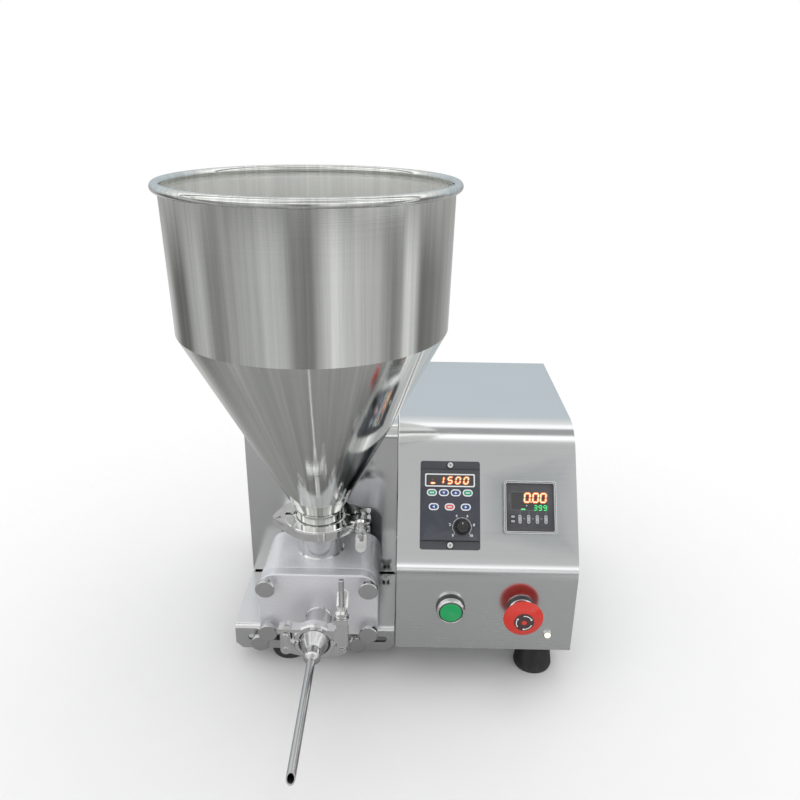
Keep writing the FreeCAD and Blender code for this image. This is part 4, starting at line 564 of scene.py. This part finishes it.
def pointed_bar(p, q, width):
    """Outline of one bar of a lit figure, pointed at both ends."""
    a, b = Vector(p), Vector(q)
    along = (b - a).normalized()
    side = Vector((-along.y, along.x)) * width / 2
    points = [a, a + along * width / 2 - side, b - along * width / 2 - side,
              b, b - along * width / 2 + side, a + along * width / 2 + side]
    return [(v.x, v.y) for v in points]


LIT_BARS = {"0": "abcdef", "1": "bc", "3": "abcdg", "5": "acdfg", "9": "abcdfg"}
BAR_GAP = 0.12              # from a bar's end to its corner
STROKE = 0.025              # widening of a number's strokes, as a share of its size
SMOOTH_BELOW = math.radians(35)


class Relief:
    """Plates, rings and turned forms in a panel's millimetres, gathered into one piece."""

    def __init__(self):
        self.mesh = bmesh.new()
        self.finishes = []

    def finish_index(self, finish):
        if finish not in self.finishes:
            self.finishes.append(finish)
        return self.finishes.index(finish)

    def bridge(self, lower, upper, index):
        count = len(lower)
        for i in range(count):
            j = (i + 1) % count
            face = self.mesh.faces.new((lower[i], lower[j], upper[j], upper[i]))
            face.material_index = index

    def loop(self, outline, z, inset=0.0):
        middle = sum((Vector(p) for p in outline), Vector((0.0, 0.0))) / len(outline)
        made = []
        for p in outline:
            out = Vector(p) - middle
            q = middle + out * (1 - inset / max(out.length, 0.01))
            made.append(self.mesh.verts.new((q.x, q.y, z)))
        return made

    def plate(self, outline, low, high, finish, edge=0.0):
        """A flat piece; its upper edge is eased by the width given."""
        index = self.finish_index(finish)
        levels = [self.loop(outline, low), self.loop(outline, high - edge)]
        if edge:
            levels.append(self.loop(outline, high, edge))
        for lower, upper in zip(levels, levels[1:]):
            self.bridge(lower, upper, index)
        for corners in (levels[-1], list(reversed(levels[0]))):
            self.mesh.faces.new(corners).material_index = index

    def ring(self, outer, inner, low, high, finish):
        """A flat ring between two outlines of the same number of points."""
        index = self.finish_index(finish)
        a, b = self.loop(outer, low), self.loop(outer, high)
        c, d = self.loop(inner, high), self.loop(inner, low)
        for lower, upper in ((a, b), (b, c), (c, d), (d, a)):
            self.bridge(lower, upper, index)

    def turned(self, profile, finish, x=0.0, y=0.0, steps=48):
        """A closed turned form from points (radius, height), upwards round the outside."""
        index = self.finish_index(finish)
        rings = []
        for radius, z in profile:
            outline = round_outline(1.0, steps) if radius else [(0.0, 0.0)]
            rings.append([self.mesh.verts.new((x + radius * u, y + radius * v, z))
                          for u, v in outline])
        for lower, upper in zip(rings, rings[1:] + rings[:1]):
            if len(lower) == 1 and len(upper) == 1:
                continue
            for i in range(steps):
                j = (i + 1) % steps
                if len(lower) == 1:
                    corners = (lower[0], upper[j], upper[i])
                elif len(upper) == 1:
                    corners = (lower[i], lower[j], upper[0])
                else:
                    corners = (lower[i], lower[j], upper[j], upper[i])
                self.mesh.faces.new(corners).material_index = index

    def figure(self, sign, x, y, width, height, bar, low, finish, slant, grow=0.0):
        """One seven-bar figure of a display; grow widens it into the glow around it."""
        w, h = (width - bar) / 2, (height - bar) / 2
        ends = {"a": ((-w, h), (w, h)), "b": ((w, h), (w, 0)), "c": ((w, 0), (w, -h)),
                "d": ((-w, -h), (w, -h)), "e": ((-w, 0), (-w, -h)), "f": ((-w, h), (-w, 0)),
                "g": ((-w, 0), (w, 0))}
        for name in LIT_BARS[sign]:
            p, q = Vector(ends[name][0]), Vector(ends[name][1])
            along = (q - p).normalized() * (BAR_GAP - grow / 2)
            outline = pointed_bar(p + along, q - along, bar + grow)
            self.plate(moved(outline, x, y, slant), low, low + INK, finish)

    def lit_figure(self, sign, x, y, size, glow, core, slant, grow):
        """A lit figure on the film with its glow below it; size is width, height and bar."""
        self.figure(sign, x, y, *size, FILM, glow, slant, grow)
        self.figure(sign, x, y, *size, FILM + INK, core, slant)

    def lit_patch(self, outer, inner, x, y):
        """An amber dot or dash on the film with its glow below it."""
        self.plate(moved(outer, x, y), FILM, FILM + INK, amber_glow)
        self.plate(moved(inner, x, y), FILM + INK, FILM + 2 * INK, amber_core)

    def letters(self, text, size, x, y, low, high, finish):
        """Plain numbers in the built-in font, middle at x, y."""
        curve = bpy.data.curves.new("figure", "FONT")
        curve.body, curve.size = text, size
        curve.align_x, curve.align_y = "CENTER", "CENTER"
        curve.extrude = (high - low) / 2
        curve.resolution_u = 3
        curve.offset = size * STROKE
        holder = bpy.data.objects.new("figure", curve)
        mesh = bpy.data.meshes.new_from_object(holder)
        mesh.transform(Matrix.Translation((x, y, (low + high) / 2)))
        index = self.finish_index(finish)
        before = len(self.mesh.faces)
        self.mesh.from_mesh(mesh)
        self.mesh.faces.ensure_lookup_table()
        for face in self.mesh.faces[before:]:
            face.material_index = index
        bpy.data.objects.remove(holder)
        bpy.data.curves.remove(curve)
        bpy.data.meshes.remove(mesh)

    def build(self, name, place, body):
        """The finished piece at its place, riding on a body of the machine."""
        bmesh.ops.recalc_face_normals(self.mesh, faces=self.mesh.faces)
        self.mesh.transform(place)
        for edge in self.mesh.edges:
            edge.smooth = len(edge.link_faces) == 2 and edge.calc_face_angle(0) < SMOOTH_BELOW
        for face in self.mesh.faces:
            face.smooth = True
        mesh = bpy.data.meshes.new(name)
        self.mesh.to_mesh(mesh)
        self.mesh.free()
        for finish in self.finishes:
            mesh.materials.append(finish)
        piece = bpy.data.objects.new(name, mesh)
        bpy.context.scene.collection.objects.link(piece)
        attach(piece, body)


# Speed controller: everything is placed from its middle.
controller_place = slope_frame(*CONTROLLER)


def on_controller(x, s):
    return x - CONTROLLER[0], CONTROLLER[1] - s


def controller_window():
    """Frame of the display with its lit figures, a dash and a dot."""
    x, y = on_controller(135.9, 57.6)
    figure_size = (5.3, 7.5, 1.15)
    window = Relief()
    window.ring(moved(round_corners(50.5, 13.3, 1.5), x, y),
                moved(round_corners(48.0, 10.8, 0.9), x, y), FILM - 0.02, FILM + 0.12, white_ink)
    for sign, dx in zip("1500", (-8.6, 0.2, 8.2, 16.4)):
        window.lit_figure(sign, x + dx, y, figure_size, amber_glow, amber_core, 9.0, 1.5)
    window.lit_patch(oval_outline(2.9, 1.35, 24), oval_outline(2.3, 0.85, 24), x - 17.2, y - 3.0)
    window.plate(moved(round_outline(0.45, 12), x - 17.6, y + 0.4), FILM, FILM + INK, amber_glow)
    window.build("controller_window_print", controller_place, "machine")


def controller_keys():
    """Two rows of keys: white rims, coloured caps, and bars or arrows on them."""
    arrow = [(1.3, 0.0), (-0.9, 1.45), (-0.9, -1.45)]
    rows = {70.2: [(117.7, green_ink, "bar"), (129.8, blue_ink, -90), (141.8, blue_ink, 90),
                   (153.9, green_ink, "bar")],
            84.4: [(119.7, blue_ink, 180), (135.8, red_ink, "bar"), (151.9, blue_ink, 0)]}
    keys = Relief()
    for s, row in rows.items():
        for place, ink, sign in row:
            x, y = on_controller(place, s)
            keys.ring(moved(stadium(10.2, 7.0), x, y), moved(stadium(7.9, 4.7), x, y),
                      KEY, KEY + 0.08, white_ink)
            keys.plate(moved(stadium(7.8, 4.6), x, y), KEY - 0.02, KEY + 0.04, ink)
            if sign == "bar":
                bar = round_corners(1.1, 1.5, 0.2, 2)
                signs = [moved(bar, x + dx, y) for dx in (-1.5, 0.0, 1.5)]
            else:
                signs = [moved(arrow, x, y, 0.0, sign)]
            for outline in signs:
                keys.plate(outline, KEY, KEY + 0.09, white_ink)
    keys.build("controller_key_print", controller_place, "machine")


def dial_scale():
    """The dial's scale: an open arc with ticks and plain numbers."""
    x, y = on_controller(*DIAL)
    first, sweep = 222.0, 264.0
    arc_steps, ticks = 40, 10
    scale = Relief()
    for i in range(arc_steps):
        a, b = (first - sweep * k / arc_steps for k in (i, i + 1))
        corners = [on_circle(r, turn, x, y) for r, turn in ((9.2, a), (9.2, b), (9.5, b), (9.5, a))]
        scale.plate(corners, FILM, FILM + INK, white_ink)
    for i in range(ticks + 1):
        turn = first - sweep * i / ticks
        numbered = i % 2 == 0
        root = on_circle(9.3, turn, x, y)
        tip = on_circle(10.6 if numbered else 10.1, turn, x, y)
        scale.plate(strip(root, tip, 0.32), FILM, FILM + INK, white_ink)
        if numbered:
            scale.letters(str(i), 3.5, *on_circle(12.3, turn, x, y), FILM, FILM + INK, white_ink)
    scale.build("dial_scale", controller_place, "machine")


def dial_pointer():
    """White pointer and worn rim on the dial's face."""
    x, y = on_controller(*DIAL)
    mark = Relief()
    mark.plate(strip((x, y + 2.2), (x, y + 5.0), 0.7), DIAL_FACE, DIAL_FACE + 0.15, white_ink)
    mark.ring(moved(round_outline(5.0), x, y), moved(round_outline(4.3), x, y),
              DIAL_FACE + 0.78, DIAL_FACE + 0.86, worn_black)
    mark.build("dial_pointer", controller_place, "dial")


def controller_screws():
    """Bright pan heads, one in each ear; a dark plate of painted shade stands for each cross
    recess, and a black ring of painted shade lies round each head.
    """
    head = [(0, EAR), (3.0, EAR), (3.05, 3.2), (2.75, 4.0), (2.1, 4.45), (1.2, 4.6), (0, 4.62)]
    screws = Relief()
    for s in (41.9, 122.3):
        x, y = on_controller(CONTROLLER[0], s)
        screws.turned(head, bright_steel, x, y, 32)
        # cross recess: dark plates of painted shade
        for turn in (28, 118):
            slot = moved(round_corners(2.9, 0.62, 0.2, 2), x, y, 0.0, turn)
            screws.plate(slot, 4.3, 4.66, recess_painted_shade)
        # a black ring of painted shade round the head
        screws.ring(moved(round_outline(4.0), x, y), moved(round_outline(3.0), x, y),
                    EAR + 0.08, EAR + 0.2, black_painted_shade)
    screws.build("controller_screw_heads", controller_place, "machine")


def controller_seams():
    """Painted shadow lines where the raised face meets its ears."""
    seam_shadows = Relief()
    for side in (-1, 1):
        seam_shadows.plate(moved(round_corners(60.0, 0.7, 0.2, 2), 0, side * 35.9),
                    EAR + 0.05, EAR + 0.16, black_painted_shade)
    seam_shadows.build("controller_seams", controller_place, "machine")


# Counter: everything is placed from its middle.
counter_place = slope_frame(*COUNTER)


def counter_figures():
    """Large amber count over small green figures."""
    large, small = (6.6, 10.0, 1.35), (3.6, 5.5, 0.8)
    slant = 5.0
    figures = Relief()
    for x in (-2.5, 5.9, 13.6):
        figures.lit_figure("0", x, 9.6, large, amber_glow, amber_core, slant, 1.5)
    figures.lit_patch(round_outline(0.9, 16), round_outline(0.6, 16), 1.3, 5.2)
    for sign, x in zip("399", (5.6, 10.4, 15.3)):
        figures.lit_figure(sign, x, -0.4, small, green_glow, green_core, slant, 0.7)
    figures.plate(moved(round_corners(4.2, 1.3, 0.3, 2), -6.8, -2.0), FILM, FILM + INK, green_core)
    figures.plate(moved(round_outline(0.5, 12), -3.2, 1.7), FILM, FILM + INK, white_ink)
    figures.build("counter_figures", counter_place, "machine")


def counter_print():
    """Fine printed lines on the counter's face, with its keys' caps and marks."""
    key_row = COUNTER[1] - 95.3
    mark = [(-0.8, -0.45), (0.8, -0.45), (0.0, 0.7)]
    face = Relief()
    face.ring(moved(round_corners(37.4, 18.4, 0.9), -0.4, 6.2),
              moved(round_corners(36.9, 17.9, 0.7), -0.4, 6.2), FILM - 0.02, FILM + 0.03, grey_ink)
    y = key_row
    for x in (-10.2, -1.5, 7.1, 15.8):
        face.ring(moved(stadium(4.2, 9.8), x, y), moved(stadium(3.5, 9.1), x, y),
                  KEY - 0.3, KEY + 0.02, dark_ink)
        face.plate(moved(stadium(3.4, 9.0), x, y), KEY - 0.05, KEY + 0.12, pale_key, 0.1)
        for side, turn in ((-1, 180), (1, 0)):
            face.plate(moved(mark, x, y + side * 2.6, 0.0, turn), KEY + 0.1, KEY + 0.16, dark_ink)
        face.plate(strip((x, y + 5.4), (x + 1.1, y + 8.4), 0.22), FILM, FILM + 0.04, grey_ink)
    for x in (-5.85, 2.8, 11.45):
        face.plate(moved(round_corners(2.2, 0.8, 0.2, 2), x, key_row + 0.6),
                   FILM, FILM + 0.06, grey_ink)
    for s in (92.9, 97.5):
        x, y = -17.2, COUNTER[1] - s
        face.plate(moved(round_corners(6.2, 4.2, 1.2), x, y), FILM, FILM + 0.05, dark_ink)
        face.plate(moved(stadium(4.2, 2.3), x, y), FILM, KEY + 0.05, pale_key, 0.12)
    for i in range(4):
        face.plate(moved(round_corners(1.3, 0.7, 0.15, 2), -20.6, 12.2 - 2.4 * i),
                   FILM - 0.5, FILM - 0.42, grey_ink)
    face.build("counter_print", counter_place, "machine")


def counter_frame_edges():
    """Painted highlights along the clear surround's outer and inner edge: pale rings that stand for
    the light on them.
    """
    highlight_rings = Relief()
    for outer, outer_corner, inner, inner_corner, base, top in (
            (52.4, 2.7, 51.3, 2.4, 8.0, 8.62), (49.3, 1.9, 48.3, 1.6, 5.2, 8.6)):
        highlight_rings.ring(round_corners(outer, outer, outer_corner),
                   round_corners(inner, inner, inner_corner), base, top, frame_painted_highlight)
    highlight_rings.build("counter_frame_highlight_rings", counter_place, "machine")


def indicator_lens():
    """Glowing domed lens of the pilot lamp with its dark seat."""
    dome = [(0, 1.9), (3.45, 1.9), (3.45, 2.3), (3.1, 3.1), (2.2, 3.75), (1.1, 4.05), (0, 4.1)]
    seat = [(3.45, 1.78), (3.9, 1.78), (3.9, 1.95), (3.45, 2.0)]
    lens = Relief()
    lens.turned(dome, lamp_glow, steps=40)
    lens.turned(seat, worn_black, steps=40)
    lens.build("indicator_lens", front_frame(*LAMP_PLACE), "machine")


def start_button_seal():
    """Dark rubber ring between the start button's bezel and cap."""
    seal = Relief()
    seal.turned([(10.3, 3.9), (12.0, 3.9), (12.0, 8.0), (11.4, 8.35), (10.95, 8.0)], worn_black,
                steps=64)
    seal.build("start_button_seal", front_frame(START_X, BUTTON_Z), "machine")


def stop_head_marks():
    """A flat disc on the head's front with three white twist arrows."""
    top = STOP_FACE
    disc = [(0, top - 1.2), (9.9, top - 1.2), (9.9, top - 0.25), (9.6, top + 0.1), (0, top + 0.45)]
    outer_r, inner_r, step = 8.3, 7.5, 8
    marks = Relief()
    marks.turned(disc, red_disc, steps=64)
    for first in (35, 155, 275):
        for i in range(8):
            a, b = first + step * i, first + step * (i + 1)
            corners = [on_circle(r, turn) for r, turn in
                       ((outer_r, a), (outer_r, b), (inner_r, b), (inner_r, a))]
            marks.plate(corners, top, top + 0.32, white_ink)
        base, tip = first - 2, first - 16
        arrow = [on_circle(9.2, base), on_circle(7.9, tip), on_circle(6.6, base)]
        marks.plate(arrow, top, top + 0.33, white_ink)
    marks.build("stop_head_marks", front_frame(STOP_X, BUTTON_Z), "stop_head")


controller_window()
controller_keys()
dial_scale()
dial_pointer()
controller_screws()
controller_seams()
counter_figures()
counter_print()
counter_frame_edges()
indicator_lens()
start_button_seal()
stop_head_marks()


# ---------------------------------------------------------------- floor, light and camera
FLOOR_HALF = 1.6            # metres
FLOOR_DROP = 0.0004         # keeps the floor clear of the feet
FADE = (0.28, 0.75)         # distance over which the floor fades out


def grey(level):
    return (level, level, level, 1.0)


def pale_floor_material():
    """A pale floor that fades out at a distance; steel mirrors it as a darker bench."""
    material, t, shader, place = start_material("pale_floor", Roughness=0.7)
    speckle = t.noise(place, 30.0, Detail=4.0)
    pale = t.mix(speckle, grey(0.89), grey(0.91))
    bench = t.mix(speckle, grey(0.34), grey(0.38))
    mirrored = t.node("ShaderNodeLightPath").outputs["Is Glossy Ray"]
    t.put(shader.inputs["Base Color"], t.mix(mirrored, pale, bench))
    far = t.node("ShaderNodeVectorMath", {0: place}, operation="LENGTH").outputs["Value"]
    gone = t.node("ShaderNodeMapRange", {"Value": far, "From Min": FADE[0], "From Max": FADE[1]},
                  interpolation_type="SMOOTHSTEP").outputs["Result"]
    clear = t.node("ShaderNodeBsdfTransparent")
    blended = t.node("ShaderNodeMixShader", {0: gone, 1: shader.outputs[0], 2: clear.outputs[0]})
    output = material.node_tree.nodes["Material Output"]
    t.put(output.inputs["Surface"], blended.outputs[0])
    return material


floor_mesh = bpy.data.meshes.new("floor")
floor = bpy.data.objects.new("floor", floor_mesh)
bpy.context.scene.collection.objects.link(floor)
shape = bmesh.new()
bmesh.ops.create_grid(shape, x_segments=1, y_segments=1, size=FLOOR_HALF)
shape.to_mesh(floor_mesh)
shape.free()
floor.location.z = -FLOOR_DROP
floor_mesh.materials.append(pale_floor_material())

# Walls of the studio, from the back round by the left, the front and the right: pale, with darker
# gaps. Each entry is a share of the turn and a grey level.
WALLS = [(0.0, 0.6), (0.1, 0.6), (0.15, 0.16), (0.19, 0.18), (0.22, 0.5), (0.255, 0.6),
         (0.28, 0.3), (0.31, 0.3), (0.35, 0.46), (0.42, 0.6), (0.455, 0.62), (0.48, 0.26),
         (0.515, 0.24), (0.535, 0.5), (0.565, 0.85), (0.6, 0.62), (0.67, 0.52), (0.7, 0.3),
         (0.725, 0.34), (0.74, 0.8), (0.765, 0.74), (0.785, 0.2), (0.83, 0.22), (0.9, 0.4),
         (1.0, 0.6)]
# Upper part of the studio, from low in front over the top to the back: lamps with darker gaps.
# Each entry is an angle in degrees above the horizon in front, and a brightness.
CEILING = [(-45, 0.44), (-13, 0.3), (-9, 0.34), (-6, 0.7), (-5, 1.15), (-2.8, 1.15), (-1.8, 0.42),
           (0.4, 0.42), (1.6, 1.4), (7.4, 1.3), (10, 0.8), (15, 0.62), (48, 0.56), (62, 0.62),
           (68, 0.85), (72, 1.35), (82, 1.4), (86, 0.42), (105, 0.4), (108, 1.3), (118, 1.3),
           (126, 0.95), (135, 0.84), (157, 0.72), (169, 0.66), (180, 0.55)]
BRIGHTEST = 1.4
ARC_START = -0.25           # CEILING's first angle, in half turns
COOL_FROM = 0.83            # share of the arc from which the ceiling is slightly blue


def fill_ramp(band, levels, cool=2.0):
    """Grey levels along a ramp; past the place called cool they turn slightly blue."""
    band.interpolation = "LINEAR"
    while len(band.elements) < len(levels):
        band.elements.new(0.5)
    for element, (where, level) in zip(band.elements, levels):
        element.position = where
        element.color = (level * 0.85, level * 0.94, level, 1) if where > cool else grey(level)


def studio_world():
    """A studio that shiny surfaces mirror; others get an even light, and the camera sees white."""
    world = bpy.data.worlds.new("studio")
    bpy.context.scene.world = world
    world.use_nodes = True
    t = Tree(world.node_tree)
    rays = t.node("ShaderNodeLightPath").outputs
    generated = t.node("ShaderNodeTexCoord").outputs["Generated"]
    axes = t.node("ShaderNodeSeparateXYZ", {0: generated}).outputs
    front = t.math("MULTIPLY", axes["Y"], -1.0)

    turn = t.math("DIVIDE", t.math("ARCTAN2", axes["X"], front), 2 * math.pi)
    walls = t.node("ShaderNodeValToRGB", {"Fac": t.math("ADD", turn, 0.5)})
    fill_ramp(walls.color_ramp, WALLS)

    arc = t.math("DIVIDE", t.math("ARCTAN2", axes["Z"], front), math.pi)
    ceiling = t.node("ShaderNodeValToRGB", {"Fac": t.ramp(arc, ARC_START, 1.0)})
    levels = [((angle / 180 - ARC_START) / (1 - ARC_START), level / BRIGHTEST)
              for angle, level in CEILING]
    fill_ramp(ceiling.color_ramp, levels, COOL_FROM)
    lamps = t.vector("MULTIPLY", ceiling.outputs[0], (BRIGHTEST,) * 3)

    room = t.mix(t.ramp(axes["Z"], -0.24, -0.14), walls.outputs[0], lamps)
    shiny = t.math("MAXIMUM", rays["Is Glossy Ray"], rays["Is Transmission Ray"])
    tint = t.mix(rays["Is Camera Ray"], t.mix(shiny, grey(0.86), room), grey(1.0))
    sky = world.node_tree.nodes["Background"]
    t.put(sky.inputs["Color"], tint)
    t.put(sky.inputs["Strength"], 1.0)


def soft_box(name, place, width, height, power, glints=True):
    """A wide lamp aimed at the machine's lower half; without glints no surface mirrors it."""
    light = bpy.data.lights.new(name, "AREA")
    light.shape = "RECTANGLE"
    light.size, light.size_y = width, height
    light.energy = power
    lamp = bpy.data.objects.new(name, light)
    bpy.context.scene.collection.objects.link(lamp)
    lamp.location = place
    lamp.visible_glossy = glints
    aim = Vector((0, 0, 0.2)) - Vector(place)
    lamp.rotation_euler = aim.to_track_quat("-Z", "Y").to_euler()


studio_world()
soft_box("key_light", (-1.3, -1.1, 1.5), 2.2, 2.2, 6)
soft_box("fill_light", (1.6, -1.0, 1.0), 1.8, 2.0, 3)
soft_box("top_light", (0.1, 0.3, 2.0), 1.4, 1.0, 7, glints=False)

camera_data = bpy.data.cameras.new("camera")
camera = bpy.data.objects.new("camera", camera_data)
bpy.context.scene.collection.objects.link(camera)
bpy.context.scene.camera = camera
camera_data.sensor_width = 36.0
camera_data.lens = 33.76
camera_data.clip_start, camera_data.clip_end = 0.01, 50.0
camera.location = at(89.47, -695.38, 579.28)
camera.rotation_euler = Euler((1.18167, -0.01319, 0.01339), "XYZ")

bpy.context.scene.view_settings.view_transform = "Standard"
